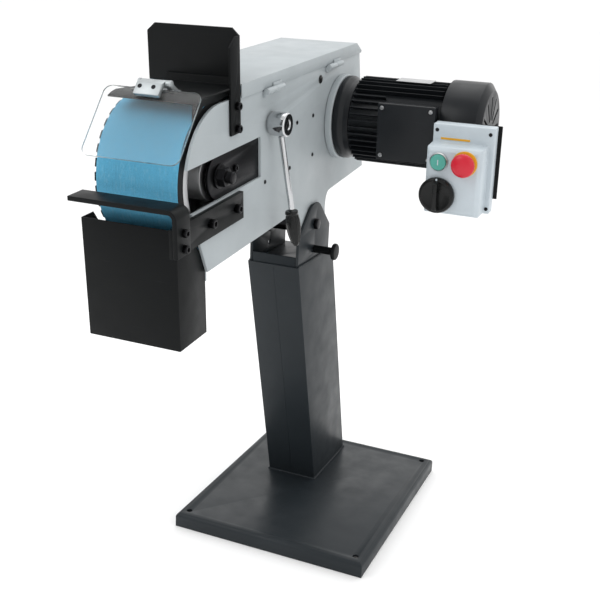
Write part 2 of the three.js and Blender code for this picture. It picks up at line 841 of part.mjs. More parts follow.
function fanCowl() {
  const { cowlR: r, cowlEnd: end, bodyEnd } = MOTOR;
  const start = bodyEnd + GAP;
  const shell = onAxis([
    [r - 2.5, start],
    [r, start],
    [r, end - 10],
    [r - 15, end],
    [0, end],
    [0, end - 2.5],
    [r - 16, end - 2.5],
    [r - 2.5, end - 11],
  ]);
  const slots = [];
  for (let i = 0; i < 12; i++) {
    const slot = block([end - 5, end + 5], [-3, 3], [22, 68]);
    slots.push(slot.rotateX((i / 12) * 2 * Math.PI).translate(0, DRIVE.y, AXLE_Z));
  }
  return cut(shell, ...slots);
}

function motorShaft() {
  const r = MOTOR.shaftR;
  return onAxis(
    [
      [0, -152],
      [9, -152],
      [9, -146],
      [22, -146],
      [22, -140 - GAP],
      [r, -140 - GAP],
      [r, 272],
      [0, 272],
    ],
    28,
  );
}

function motorFan() {
  const hub = onAxis(tube(MOTOR.shaftR + GAP, 24, 246, 268), 24);
  const disc = onAxis(tube(20, 78, 246, 248.5), 24);
  const blades = [];
  for (let i = 0; i < 8; i++) {
    const blade = block([247, 268], [-1.5, 1.5], [21, 78]);
    blades.push(blade.rotateX((i / 8) * 2 * Math.PI).translate(0, DRIVE.y, AXLE_Z));
  }
  return join(hub, disc, ...blades);
}

// ---- Controls ----
function controlBox() {
  const { left, right, low, high, back, step, face, faceRight } = BOX;
  const tray = block([left, right], [step, back], [low, high]);
  const bevel = 8;
  const front = new THREE.ExtrudeGeometry(
    outline([
      [left + bevel, low + bevel],
      [faceRight - bevel, low + bevel],
      [faceRight - bevel, 200 - bevel],
      [left + bevel, 200 - bevel],
    ]),
    { depth: step - face + 1 - bevel, bevelSize: bevel, bevelThickness: bevel, bevelSegments: 1 },
  );
  front.rotateX(Math.PI / 2).translate(0, step + 1, 0);
  const body = common(join(tray, front), block([left, right], [face, back], [low, high]));
  const bezel = turnedY(rod(START.bezelR, face - 5, face + 1), START.x, START.z, 28);
  const bores = [
    turnedY(rod(START.r + 0.3, face - 10, face + 8), START.x, START.z, 28),
    turnedY(rod(STOP.stemR + 0.3, face - 10, face + 15), STOP.x, STOP.z, 28),
    turnedY(rod(6.3, face - 10, face + 14), SELECTOR.x, SELECTOR.z, 24),
  ];
  return cut(join(body, bezel), ...bores);
}

const controlBackPlate = () => block([240, 356], [BOX.back + GAP, BOX.back + 4], [92, 234]);

// An angle strap that carries the control box from under the motor.
function controlBracket() {
  const y0 = BOX.back + 4 + GAP;
  const under = AXLE_Z - MOTOR.cowlR - GAP;
  const upright = block([240, 330], [y0, y0 + 4], [under - 6, 135]);
  return join(upright, block([240, 295], [y0, 150], [under - 6, under]));
}

function startButton() {
  const f = BOX.face;
  return turnedY([[0, f + 3], [START.r, f + 3], [START.r, f - 8], [START.r - 1, f - 9], [0, f - 9]], START.x, START.z, 28);
}

function stopCollar() {
  return turnedY(tube(STOP.stemR + 0.3, STOP.collarR, BOX.face - 3, BOX.face - GAP), STOP.x, STOP.z, 32);
}

function emergencyStop() {
  const f = BOX.face;
  const profile = [
    [0, f + 8],
    [STOP.stemR, f + 8],
    [STOP.stemR, f - 12],
    [STOP.r - 2, f - 12],
    [STOP.r, f - 15],
    [STOP.r, f - 20],
    [STOP.r - 4, f - 25],
    [0, f - 27],
  ];
  return turnedY(profile, STOP.x, STOP.z, 32);
}

function selectorKnob() {
  const f = BOX.face;
  const { x, z, r } = SELECTOR;
  const dial = turnedY(
    [[0, f + 10], [6, f + 10], [6, f - 2], [r, f - 2], [r, f - 11], [r - 2, f - 13], [0, f - 13]],
    x,
    z,
    36,
  );
  return join(dial, block([x - 6, x + 6], [f - 24, f - 12], [z - 28, z + 28]));
}

// ---- Assembly ----
function buildStand(parent) {
  piece(parent, "base_plate", basePlate(), charcoal);
  piece(parent, "base_crossbar", crossbar(), charcoal);
  piece(parent, "column", column(), charcoal);
  piece(parent, "fork_ear_right", ear(earRightX, EAR.shoulder), charcoal);
  piece(parent, "fork_ear_left", ear(earLeftX, EAR.lowShoulder), charcoal);
  piece(parent, "pivot_bolt", pivotBolt(), steel);
  piece(parent, "tilt_lock_screw", lockScrew(), blackPaint);
}

function buildFrame(head) {
  piece(head, "side_panel", sidePanel(), lightGrey);
  piece(head, "housing_floor", housingFloor(), lightGrey);
  piece(head, "rear_wall", rearWall(), lightGrey);
  piece(head, "dust_port", dustPort(), blackPlastic);
  piece(head, "pivot_tube", pivotTube(), blackSteel);
}

function buildBeltDrive(head) {
  piece(head, "abrasive_belt", abrasiveBelt(), abrasive);
  piece(head, "contact_wheel_hub", contactHub(), aluminium);
  piece(head, "contact_wheel_tyre", contactTyre(), rubber);
  piece(head, "wheel_bearing_left", bearing(-145), steel);
  piece(head, "wheel_bearing_right", bearing(-52), steel);
  piece(head, "wheel_axle", axle(), steel);
  piece(head, "axle_nut", axleNut(), blackSteel);
  piece(head, "tension_carriage", carriagePlate(), blackSteel);
  piece(head, "tension_spring", tensionSpring(), steel);
  piece(head, "drive_wheel", driveWheel(), aluminium);
}

function buildLever(head) {
  piece(head, "tension_lever_hub", leverHub(), chrome);
  const arm = new THREE.Group();
  arm.position.set(2, LEVER.y, LEVER.z);
  arm.rotation.set(LEVER.back, -LEVER.out, 0);
  piece(arm, "tension_lever_rod", leverRod(), chrome);
  piece(arm, "tension_lever_grip", leverGrip(), blackPlastic);
  head.add(arm);
}

function buildCover(head) {
  piece(head, "belt_cover", beltCover(), lightGrey);
  for (const [end, centre] of Object.entries(HINGE.centres)) {
    piece(head, "cover_hinge_leaf_" + end, hingeLeaf(centre), greyPlastic);
    piece(head, "cover_knuckle_" + end, coverKnuckle(centre), greyPlastic);
  }
}

function buildGuards(head) {
  piece(head, "guard_plate", guardPlate(), blackPaint);
  piece(head, "guard_bolt_upper", guardBolt(307), blackSteel);
  piece(head, "guard_bolt_lower", guardBolt(269), blackSteel);
  piece(head, "spark_deflector", deflector(), charcoal);
  piece(head, "visor_bracket", visorBracket(), zinc);
  const visor = visorFrame();
  piece(visor, "visor_pane", visorPane(), clearPlastic);
  piece(visor, "visor_clamp", visorClamp(), zinc);
  head.add(visor);
}

function buildRestAndBin(head) {
  piece(head, "rest_plate", restPlate(), blackPaint);
  piece(head, "rest_bar", restBar(), blackPaint);
  piece(head, "rest_bolt_front", restBolt(REST_BOLTS.front), blackSteel);
  piece(head, "rest_bolt_rear", restBolt(REST_BOLTS.rear), blackSteel);
  piece(head, "rest_leg_bolt_upper", legBolt(150), blackSteel);
  piece(head, "rest_leg_bolt_lower", legBolt(124), blackSteel);
  piece(head, "spark_bin", sparkBin(), blackPaint);
}

function buildMotor(head) {
  piece(head, "motor_ring", motorRing(), lightGrey);
  piece(head, "motor_flange", motorFlange(), motorPaint);
  piece(head, "motor_body", motorBody(), motorPaint);
  piece(head, "terminal_box", terminalBox(), motorPaint);
  piece(head, "fan_cowl", fanCowl(), motorPaint);
  piece(head, "motor_shaft", motorShaft(), steel);
  piece(head, "motor_fan", motorFan(), blackPlastic);
}

function buildControls(head) {
  piece(head, "control_box", controlBox(), greyPlastic);
  piece(head, "control_back_plate", controlBackPlate(), blackPaint);
  piece(head, "control_bracket", controlBracket(), blackPaint);
  piece(head, "start_button", startButton(), green);
  piece(head, "stop_collar", stopCollar(), yellow);
  piece(head, "emergency_stop", emergencyStop(), red);
  piece(head, "selector_knob", selectorKnob(), blackPlastic);
}

const grinder = new THREE.Group();
buildStand(grinder);
const head = new THREE.Group();
head.position.set(0, PIVOT.y, PIVOT.z);
head.rotation.x = TILT;
buildFrame(head);
buildBeltDrive(head);
buildLever(head);
buildCover(head);
buildGuards(head);
buildRestAndBin(head);
buildMotor(head);
buildControls(head);
grinder.add(head);

export default grinder;
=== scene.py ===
"""Looks of the pedestal belt grinder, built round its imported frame."""

import json
import logging
import math
from dataclasses import dataclass
from enum import Enum
from typing import Callable, Sequence

import bpy
from mathutils import Matrix, Vector

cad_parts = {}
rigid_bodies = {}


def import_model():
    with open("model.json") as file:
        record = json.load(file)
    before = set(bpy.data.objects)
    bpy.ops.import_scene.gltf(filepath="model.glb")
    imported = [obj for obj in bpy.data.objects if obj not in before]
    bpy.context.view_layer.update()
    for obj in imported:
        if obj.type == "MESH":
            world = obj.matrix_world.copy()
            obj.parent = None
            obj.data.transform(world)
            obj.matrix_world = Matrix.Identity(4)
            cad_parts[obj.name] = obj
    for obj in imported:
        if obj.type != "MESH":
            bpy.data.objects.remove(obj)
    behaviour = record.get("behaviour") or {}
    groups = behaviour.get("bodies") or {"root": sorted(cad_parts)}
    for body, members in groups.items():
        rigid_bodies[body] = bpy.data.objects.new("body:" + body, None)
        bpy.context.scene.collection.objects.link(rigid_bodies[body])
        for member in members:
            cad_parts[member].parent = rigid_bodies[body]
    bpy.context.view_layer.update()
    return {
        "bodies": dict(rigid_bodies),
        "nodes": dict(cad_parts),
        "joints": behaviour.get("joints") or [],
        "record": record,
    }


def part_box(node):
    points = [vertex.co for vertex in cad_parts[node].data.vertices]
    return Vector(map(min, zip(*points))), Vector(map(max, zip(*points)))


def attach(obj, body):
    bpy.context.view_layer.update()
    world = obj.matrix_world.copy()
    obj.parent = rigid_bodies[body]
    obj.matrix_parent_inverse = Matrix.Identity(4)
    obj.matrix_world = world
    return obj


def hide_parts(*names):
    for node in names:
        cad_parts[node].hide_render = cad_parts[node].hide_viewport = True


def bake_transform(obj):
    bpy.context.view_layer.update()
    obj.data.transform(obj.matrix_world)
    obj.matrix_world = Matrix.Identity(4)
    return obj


LOG = logging.getLogger("grinder")

Colour = tuple[float, float, float]
Point = tuple[float, float, float]
Test = Callable[[Vector, Vector], bool]


class Axis(Enum):
    """The way that a turned piece's axis points in its own frame."""

    X = "x"
    Y = "y"
    Z = "z"

    def turn(self) -> Matrix:
        """Gives the rotation that takes +Z onto this axis."""
        if self is Axis.X:
            return Matrix.Rotation(math.pi / 2, 4, "Y")
        if self is Axis.Y:
            return Matrix.Rotation(-math.pi / 2, 4, "X")
        return Matrix.Identity(4)


class Coat(Enum):
    """The finishes used on the machine, by the record's material slot."""

    STAND = "stand_paint"
    HOUSING = "housing_paint"
    BLACK_PAINT = "black_paint"
    BLACK_STEEL = "black_steel"
    STEEL = "steel"
    CHROME = "chrome"
    ALUMINIUM = "aluminium"
    TYRE = "tyre_rubber"
    ABRASIVE = "abrasive"
    MOTOR = "motor_paint"
    CLEAR = "clear_plastic"
    ZINC = "zinc"
    GREY_PLASTIC = "grey_plastic"
    BLACK_PLASTIC = "black_plastic"
    GREEN = "green_plastic"
    RED = "red_plastic"
    YELLOW = "yellow_plastic"


# ---- Finishes ----


class Graph:
    """A material's node graph round one Principled shader."""

    def __init__(self, name: str, **values: float | Colour) -> None:
        """Starts the graph.

        Args:
            name: The material's name.
            **values: Constant shader sockets, with underscores for spaces.
        """
        self.material = bpy.data.materials.new(name)
        self.material.use_nodes = True
        self.nodes = self.material.node_tree.nodes
        self.links = self.material.node_tree.links
        self.nodes.clear()
        self.shader = self.nodes.new("ShaderNodeBsdfPrincipled")
        output = self.nodes.new("ShaderNodeOutputMaterial")
        self.links.new(self.shader.outputs[0], output.inputs[0])
        self.where = self.nodes.new("ShaderNodeTexCoord").outputs["Object"]
        for key, value in values.items():
            socket = self.shader.inputs[key.replace("_", " ")]
            socket.default_value = (*value, 1.0) if isinstance(value, tuple) else value

    def stretched(self, scale: Point, turn: Point = (0.0, 0.0, 0.0)) -> bpy.types.NodeSocket:
        """Gives the object's coordinates, scaled per axis and turned.

        Args:
            scale: Factor on each axis.
            turn: Euler angles in radians.

        Returns:
            The vector socket.
        """
        mapping = self.nodes.new("ShaderNodeMapping")
        mapping.inputs["Scale"].default_value = scale
        mapping.inputs["Rotation"].default_value = turn
        self.links.new(self.where, mapping.inputs["Vector"])
        return mapping.outputs["Vector"]

    def noise(
        self, scale: float, detail: float = 3.0, where: bpy.types.NodeSocket | None = None
    ) -> bpy.types.NodeSocket:
        """Gives a cloudy value.

        Args:
            scale: Blotches per metre.
            detail: Octaves of finer detail.
            where: Coordinates, or None for the object's own.

        Returns:
            The value socket.
        """
        node = self.nodes.new("ShaderNodeTexNoise")
        node.inputs["Scale"].default_value = scale
        node.inputs["Detail"].default_value = detail
        self.links.new(where or self.where, node.inputs["Vector"])
        return node.outputs["Fac"]

    def grains(self, scale: float) -> bpy.types.NodeSocket:
        """Gives the distance to the middle of the nearest grain, for grit."""
        node = self.nodes.new("ShaderNodeTexVoronoi")
        node.inputs["Scale"].default_value = scale
        self.links.new(self.where, node.inputs["Vector"])
        return node.outputs["Distance"]

    def ranged(
        self, value: bpy.types.NodeSocket, low: float, high: float, to_low: float, to_high: float
    ) -> bpy.types.NodeSocket:
        """Maps a value from one range to another, clamped.

        Args:
            value: The value to map.
            low: Start of its range.
            high: End of its range.
            to_low: What the start becomes.
            to_high: What the end becomes.

        Returns:
            The mapped value.
        """
        node = self.nodes.new("ShaderNodeMapRange")
        settings = (low, high, to_low, to_high)
        for key, number in zip(("From Min", "From Max", "To Min", "To Max"), settings):
            node.inputs[key].default_value = number
        self.links.new(value, node.inputs["Value"])
        return node.outputs["Result"]

    def between(
        self,
        share: bpy.types.NodeSocket,
        first: Colour | bpy.types.NodeSocket,
        second: Colour | bpy.types.NodeSocket,
    ) -> bpy.types.NodeSocket:
        """Blends two colours.

        Args:
            share: How much of the second shows, from 0 to 1.
            first: A colour or a colour socket.
            second: A colour or a colour socket.

        Returns:
            The blended colour.
        """
        node = self.nodes.new("ShaderNodeMix")
        node.data_type = "RGBA"
        self.links.new(share, node.inputs[0])
        for socket, source in ((node.inputs[6], first), (node.inputs[7], second)):
            if isinstance(source, tuple):
                socket.default_value = (*source, 1.0)
            else:
                self.links.new(source, socket)
        return node.outputs[2]

    def relief(
        self,
        height: bpy.types.NodeSocket,
        depth: float,
        below: bpy.types.NodeSocket | None = None,
    ) -> bpy.types.NodeSocket:
        """Adds a bump to the shader's normal.

        Args:
            height: The bump's height, from 0 to 1.
            depth: How far 1 stands out, in metres.
            below: A relief that this one lies on.

        Returns:
            The normal, for another relief to lie on.
        """
        node = self.nodes.new("ShaderNodeBump")
        node.inputs["Distance"].default_value = depth
        self.links.new(height, node.inputs["Height"])
        if below is not None:
            self.links.new(below, node.inputs["Normal"])
        self.links.new(node.outputs["Normal"], self.shader.inputs["Normal"])
        return node.outputs["Normal"]

    def feed(self, key: str, source: bpy.types.NodeSocket) -> None:
        """Links a source into one of the shader's sockets."""
        self.links.new(source, self.shader.inputs[key])


def toned(colour: Colour, factor: float) -> Colour:
    """Gives a colour made lighter or darker by a factor."""
    return (colour[0] * factor, colour[1] * factor, colour[2] * factor)


@dataclass(frozen=True)
class Finish:
    """A surface finish. Each kind builds its own material."""

    name: str
    colour: Colour
    roughness: float = 0.4

    def material(self) -> bpy.types.Material:
        """Builds the material."""
        raise NotImplementedError


@dataclass(frozen=True)
class PowderCoat(Finish):
    """Baked powder paint: orange-peel relief, faint mottling, dust and fine scuffs."""

    peel: float = 0.00003
    scuff: float = 0.12
    gloss: float = 0.3

    def material(self) -> bpy.types.Material:
        """Builds the material."""
        g = Graph(self.name, Metallic=0.0, Specular_IOR_Level=self.gloss)
        cloud = g.ranged(g.noise(7.0, 4.0), 0.3, 0.7, 0.0, 1.0)
        base = g.between(cloud, toned(self.colour, 0.93), toned(self.colour, 1.07))
        speck = g.ranged(g.noise(2600.0, 2.0), 0.62, 0.72, 0.0, 0.35)
        base = g.between(speck, base, toned(self.colour, 1.35))
        lines = g.noise(60.0, 6.0, g.stretched((0.25, 1.0, 7.0), (0.5, 0.3, 0.8)))
        scuff = g.ranged(lines, 0.66, 0.74, 0.0, self.scuff)
        pale = tuple(min(1.0, c * 0.7 + 0.12) for c in self.colour)
        g.feed("Base Color", g.between(scuff, base, pale))
        smear = g.noise(22.0, 5.0)
        g.feed("Roughness", g.ranged(smear, 0.3, 0.7, self.roughness - 0.06, self.roughness + 0.08))
        g.relief(g.noise(650.0, 2.0), self.peel)
        return g.material


@dataclass(frozen=True)
class WorkedMetal(Finish):
    """Bare or plated metal with the lines of turning, grinding or polishing."""

    lines: Point = (1.0, 1.0, 1.0)
    depth: float = 0.00001
    stain: float = 0.25

    def material(self) -> bpy.types.Material:
        """Builds the material."""
        g = Graph(self.name, Metallic=1.0)
        streak = g.noise(900.0, 4.0, g.stretched(self.lines))
        blotch = g.ranged(g.noise(35.0, 5.0), 0.35, 0.75, 0.0, self.stain)
        base = g.between(streak, toned(self.colour, 0.88), toned(self.colour, 1.08))
        g.feed("Base Color", g.between(blotch, base, toned(self.colour, 0.55)))
        low, high = self.roughness * 0.75, self.roughness * 1.35
        g.feed("Roughness", g.ranged(streak, 0.3, 0.7, low, high))
        g.relief(streak, self.depth)
        return g.material


@dataclass(frozen=True)
class CastZinc(Finish):
    """Die-cast zinc: pale, grainy and slightly pitted."""

    def material(self) -> bpy.types.Material:
        """Builds the material."""
        g = Graph(self.name, Metallic=0.85)
        cloud = g.noise(120.0, 6.0)
        g.feed("Base Color", g.between(cloud, toned(self.colour, 0.75), toned(self.colour, 1.15)))
        g.feed("Roughness", g.ranged(cloud, 0.3, 0.7, self.roughness, self.roughness + 0.15))
        g.relief(g.noise(1400.0, 3.0), 0.00004, g.relief(g.noise(260.0, 2.0), 0.00006))
        return g.material


@dataclass(frozen=True)
class Rubber(Finish):
    """Moulded rubber with a chalky bloom."""

    def material(self) -> bpy.types.Material:
        """Builds the material."""
        g = Graph(self.name, Specular_IOR_Level=0.3)
        bloom = g.ranged(g.noise(40.0, 6.0), 0.45, 0.75, 0.0, 0.5)
        g.feed("Base Color", g.between(bloom, self.colour, toned(self.colour, 3.2)))
        g.feed("Roughness", g.ranged(bloom, 0.0, 0.5, self.roughness, 0.95))
        g.relief(g.noise(1500.0, 3.0), 0.00006)
        return g.material


@dataclass(frozen=True)
class AbrasiveCloth(Finish):
    """Resin-bonded grit on cloth, worn in faint streaks along the belt's travel."""

    grit: float = 1500.0

    def material(self) -> bpy.types.Material:
        """Builds the material."""
        g = Graph(self.name, Specular_IOR_Level=0.2)
        grain = g.grains(self.grit)
        bright = g.ranged(grain, 0.1, 0.75, 0.0, 1.0)
        base = g.between(bright, toned(self.colour, 1.22), toned(self.colour, 0.72))
        streak = g.noise(60.0, 6.0, g.stretched((9.0, 0.4, 0.4)))
        base = g.between(g.ranged(streak, 0.5, 0.68, 0.0, 0.35), base, toned(self.colour, 0.70))
        clog = g.ranged(g.noise(300.0, 3.0, g.stretched((1.0, 0.3, 0.3))), 0.55, 0.75, 0.0, 0.3)
        g.feed("Base Color", g.between(clog, base, (0.26, 0.50, 0.62)))
        g.feed("Roughness", g.ranged(grain, 0.0, 1.0, self.roughness - 0.15, self.roughness))
        g.relief(g.noise(700.0, 4.0), 0.0001, g.relief(grain, 0.00014))
        return g.material


@dataclass(frozen=True)
class MouldedPlastic(Finish):
    """Injection-moulded plastic with a fine spark-eroded texture."""

    texture: float = 0.00002
    gloss: float = 0.4

    def material(self) -> bpy.types.Material:
        """Builds the material."""
        g = Graph(self.name, Specular_IOR_Level=self.gloss)
        cloud = g.ranged(g.noise(18.0, 4.0), 0.35, 0.7, 0.0, 1.0)
        base = g.between(cloud, toned(self.colour, 0.94), toned(self.colour, 1.05))
        grime = g.ranged(g.noise(55.0, 7.0), 0.6, 0.8, 0.0, 0.25)
        g.feed("Base Color", g.between(grime, base, toned(self.colour, 0.72)))
        g.feed("Roughness", g.ranged(cloud, 0.0, 1.0, self.roughness - 0.04, self.roughness + 0.07))
        g.relief(g.noise(1900.0, 2.0), self.texture)
        return g.material


@dataclass(frozen=True)
class ClearSheet(Finish):
    """Clear polycarbonate with faint smears and hairline scratches."""

    haze: float = 0.015

    def material(self) -> bpy.types.Material:
        """Builds the material."""
        g = Graph(self.name, Transmission_Weight=1.0 - self.haze, IOR=1.2)
        smear = g.ranged(g.noise(30.0, 5.0), 0.45, 0.8, 0.0, 1.0)
        g.feed("Base Color", g.between(smear, self.colour, toned(self.colour, 0.98)))
        g.feed("Roughness", g.ranged(smear, 0.0, 1.0, self.roughness, self.roughness + 0.06))
        g.relief(g.noise(400.0, 2.0, g.stretched((0.3, 6.0, 1.0))), 0.000004)
        return g.material


FINISHES: dict[Coat, Finish] = {
    Coat.STAND: PowderCoat(
        "stand_powder_coat", (0.0165, 0.021, 0.0245), 0.40, scuff=0.03, gloss=0.22
    ),
    Coat.HOUSING: PowderCoat(
        "housing_powder_coat", (0.36, 0.395, 0.41), 0.42, scuff=0.06, gloss=0.3
    ),
    Coat.BLACK_PAINT: PowderCoat(
        "black_powder_coat", (0.006, 0.0068, 0.0072), 0.42, scuff=0.05, gloss=0.10
    ),
    Coat.BLACK_STEEL: WorkedMetal("blackened_steel", (0.022, 0.022, 0.024), 0.36, stain=0.4),
    Coat.STEEL: WorkedMetal("turned_steel", (0.40, 0.405, 0.41), 0.28, (8.0, 0.6, 0.6)),
    Coat.CHROME: WorkedMetal("chrome_plate", (0.56, 0.57, 0.58), 0.12, depth=0.000004, stain=0.2),
    Coat.ALUMINIUM: WorkedMetal("turned_aluminium", (0.50, 0.505, 0.51), 0.42, (8.0, 0.6, 0.6)),
    Coat.TYRE: Rubber("tyre_rubber", (0.006, 0.006, 0.0065), 0.78),
    Coat.ABRASIVE: AbrasiveCloth("abrasive_cloth", (0.105, 0.395, 0.60), 0.88),
    Coat.MOTOR: PowderCoat("motor_paint", (0.009, 0.0105, 0.0125), 0.34, 0.00005, 0.05, 0.22),
    Coat.CLEAR: ClearSheet("clear_polycarbonate", (0.955, 0.965, 0.965), 0.02),
    Coat.ZINC: CastZinc("cast_zinc", (0.44, 0.47, 0.48), 0.36),
    Coat.GREY_PLASTIC: MouldedPlastic("pale_grey_plastic", (0.50, 0.56, 0.60), 0.36),
    Coat.BLACK_PLASTIC: MouldedPlastic("black_plastic", (0.006, 0.0065, 0.0065), 0.24, gloss=0.25),
    Coat.GREEN: MouldedPlastic("green_plastic", (0.07, 0.33, 0.27), 0.30),
    Coat.RED: MouldedPlastic("red_plastic", (0.56, 0.012, 0.030), 0.28),
    Coat.YELLOW: MouldedPlastic("yellow_plastic", (0.72, 0.36, 0.01), 0.38),
}


# ---- Modelling ----


class Bench:
    """Modelling steps, each done with Blender's own operators."""

    @staticmethod
    def clear() -> None:
        """Leaves edit mode and deselects everything."""
        active = bpy.context.view_layer.objects.active
        if active is not None and active.mode != "OBJECT":
            bpy.ops.object.mode_set(mode="OBJECT")
        bpy.ops.object.select_all(action="DESELECT")

    @staticmethod
    def take(piece: bpy.types.Object) -> bpy.types.Object:
        """Makes a piece the only selected one.

        Args:
            piece: The piece to select.

        Returns:
            The same piece.
        """
        Bench.clear()
        piece.select_set(True)
        bpy.context.view_layer.objects.active = piece
        return piece

    @staticmethod
    def named(name: str) -> bpy.types.Object:
        """Names the piece that an operator has just added."""
        piece = bpy.context.view_layer.objects.active
        piece.name = piece.data.name = name
        return piece

    @staticmethod
    def move(piece: bpy.types.Object, matrix: Matrix) -> bpy.types.Object:
        """Moves a piece's mesh, and leaves its object at the origin.

        Args:
            piece: The piece to move.
            matrix: Where it goes.

        Returns:
            The same piece.
        """
        Bench.take(piece)
        piece.matrix_world = matrix @ piece.matrix_world
        bpy.ops.object.transform_apply(location=True, rotation=True, scale=True)
        return piece

    @staticmethod
    def block(name: str, low: Point, high: Point) -> bpy.types.Object:
        """Adds a block between two corners.

        Args:
            name: The piece's name.
            low: Its lowest corner.
            high: Its highest corner.

        Returns:
            The new piece.
        """
        Bench.clear()
        a, b = Vector(low), Vector(high)
        bpy.ops.mesh.primitive_cube_add(size=1.0, location=(a + b) / 2, scale=b - a)
        piece = Bench.named(name)
        bpy.ops.object.transform_apply(location=True, rotation=True, scale=True)
        return piece

    @staticmethod
    def turned(
        name: str,
        profile: Sequence[tuple[float, float]],
        centre: Point = (0.0, 0.0, 0.0),
        axis: Axis = Axis.Z,
        sides: int = 64,
        ring: bool = False,
    ) -> bpy.types.Object:
        """Extrudes a circle along an axis, with a new radius at each step.

        Args:
            name: The piece's name.
            profile: (radius, height) at each step.
            centre: Where height 0 is.
            axis: The axis that heights are counted along.
            sides: How many sides the circle has.
            ring: True for a hollow piece, whose profile closes on itself.

        Returns:
            The new piece.
        """
        Bench.clear()
        radius, height = profile[0]
        fill = "NOTHING" if ring else "NGON"
        bpy.ops.mesh.primitive_circle_add(
            vertices=sides, radius=radius, fill_type=fill, location=(0, 0, height)
        )
        piece = Bench.named(name)
        bpy.ops.object.transform_apply(location=True, rotation=True, scale=True)
        bpy.ops.object.mode_set(mode="EDIT")
        bpy.ops.mesh.select_mode(type="VERT")
        bpy.ops.mesh.select_all(action="SELECT")
        for next_radius, next_height in [*profile[1:], *([profile[0]] if ring else [])]:
            rise = {"value": (0.0, 0.0, next_height - height)}
            bpy.ops.mesh.extrude_region_move(TRANSFORM_OT_translate=rise)
            grow = next_radius / radius
            bpy.ops.transform.resize(value=(grow, grow, 1.0), center_override=(0, 0, next_height))
            radius, height = next_radius, next_height
        bpy.ops.mesh.select_all(action="SELECT")
        bpy.ops.mesh.remove_doubles(threshold=1e-6)
        bpy.ops.mesh.normals_make_consistent(inside=False)
        bpy.ops.object.mode_set(mode="OBJECT")
        return Bench.move(piece, Matrix.Translation(centre) @ axis.turn())

    @staticmethod
    def strand(name: str, points: Sequence[Point], radius: float, sides: int = 8) -> bpy.types.Object:
        """Extrudes a small circle from point to point.

        Args:
            name: The piece's name.
            points: The strand's middle, from its lowest point up.
            radius: The strand's radius.
            sides: How many sides it has.

        Returns:
            The new piece.
        """
        Bench.clear()
        bpy.ops.mesh.primitive_circle_add(
            vertices=sides, radius=radius, fill_type="NGON", location=points[0]
        )
        piece = Bench.named(name)
        bpy.ops.object.transform_apply(location=True, rotation=True, scale=True)
        bpy.ops.object.mode_set(mode="EDIT")
        bpy.ops.mesh.select_all(action="SELECT")
        for last, point in zip(points, points[1:]):
            step = {"value": tuple(Vector(point) - Vector(last))}
            bpy.ops.mesh.extrude_region_move(TRANSFORM_OT_translate=step)
        bpy.ops.mesh.select_all(action="SELECT")
        bpy.ops.mesh.normals_make_consistent(inside=False)
        bpy.ops.object.mode_set(mode="OBJECT")
        return piece

    @staticmethod
    def pick(piece: bpy.types.Object, test: Test) -> None:
        """Enters edit mode with the faces that pass a test selected.

        Args:
            piece: The piece to edit.
            test: Takes a face's middle and its normal.
        """
        Bench.take(piece)
        bpy.ops.object.mode_set(mode="EDIT")
        bpy.ops.mesh.select_mode(type="FACE")
        bpy.ops.mesh.select_all(action="DESELECT")
        bpy.ops.object.mode_set(mode="OBJECT")
        for face in piece.data.polygons:
            face.select = test(face.center, face.normal)
        bpy.ops.object.mode_set(mode="EDIT")

    @staticmethod
    def rounded(
        piece: bpy.types.Object, width: float, segments: int = 2, angle: float = 32.0
    ) -> bpy.types.Object:
        """Rounds a piece's sharp edges and smooths its curved faces.

        Args:
            piece: The piece to round.
            width: How wide the rounding is.
            segments: How many steps it has.
            angle: Edges sharper than this are rounded, in degrees.

        Returns:
            The same piece.
        """
        Bench.take(piece)
        bevel = piece.modifiers.new("rounding", "BEVEL")
        bevel.width = width
        bevel.segments = segments
        bevel.limit_method = "ANGLE"
        bevel.angle_limit = math.radians(angle)
        bevel.harden_normals = False
        bpy.ops.object.modifier_apply(modifier=bevel.name)
        bpy.ops.object.shade_smooth_by_angle(angle=math.radians(38))
        return piece

    @staticmethod
    def joined(name: str, pieces: Sequence[bpy.types.Object]) -> bpy.types.Object:
        """Joins pieces into one.

        Args:
            name: The joined piece's name.
            pieces: The pieces to join.

        Returns:
            The joined piece.
        """
        Bench.clear()
        for piece in pieces:
            piece.select_set(True)
        bpy.context.view_layer.objects.active = pieces[0]
        if len(pieces) > 1:
            bpy.ops.object.join()
        return Bench.named(name)

    @staticmethod
    def repeated(
        name: str, piece: bpy.types.Object, places: Sequence[Matrix]
    ) -> bpy.types.Object:
        """Copies a piece to each place and joins the copies.

        Args:
            name: The joined piece's name.
            piece: The piece to copy, which is used up.
            places: Where each copy goes.

        Returns:
            The joined piece.
        """
        copies = []
        for place in places:
            copy = bpy.data.objects.new(name, piece.data.copy())
            copy.data.transform(place)
            bpy.context.scene.collection.objects.link(copy)
            copies.append(copy)
        bpy.data.objects.remove(piece)
        return Bench.joined(name, copies)

    @staticmethod
    def traced(name: str, node: bpy.types.Object) -> bpy.types.Object:
        """Copies a frame node as one clean mesh of flat faces.

        Args:
            name: The copy's name.
            node: The frame node.

        Returns:
            The copy.
        """
        copy = bpy.data.objects.new(name, node.data.copy())
        bpy.context.scene.collection.objects.link(copy)
        Bench.take(copy)
        bpy.ops.object.mode_set(mode="EDIT")
        bpy.ops.mesh.select_all(action="SELECT")
        bpy.ops.mesh.remove_doubles(threshold=2e-6)
        bpy.ops.mesh.dissolve_limited(angle_limit=math.radians(0.6))
        bpy.ops.object.mode_set(mode="OBJECT")
        return Bench.named(name)

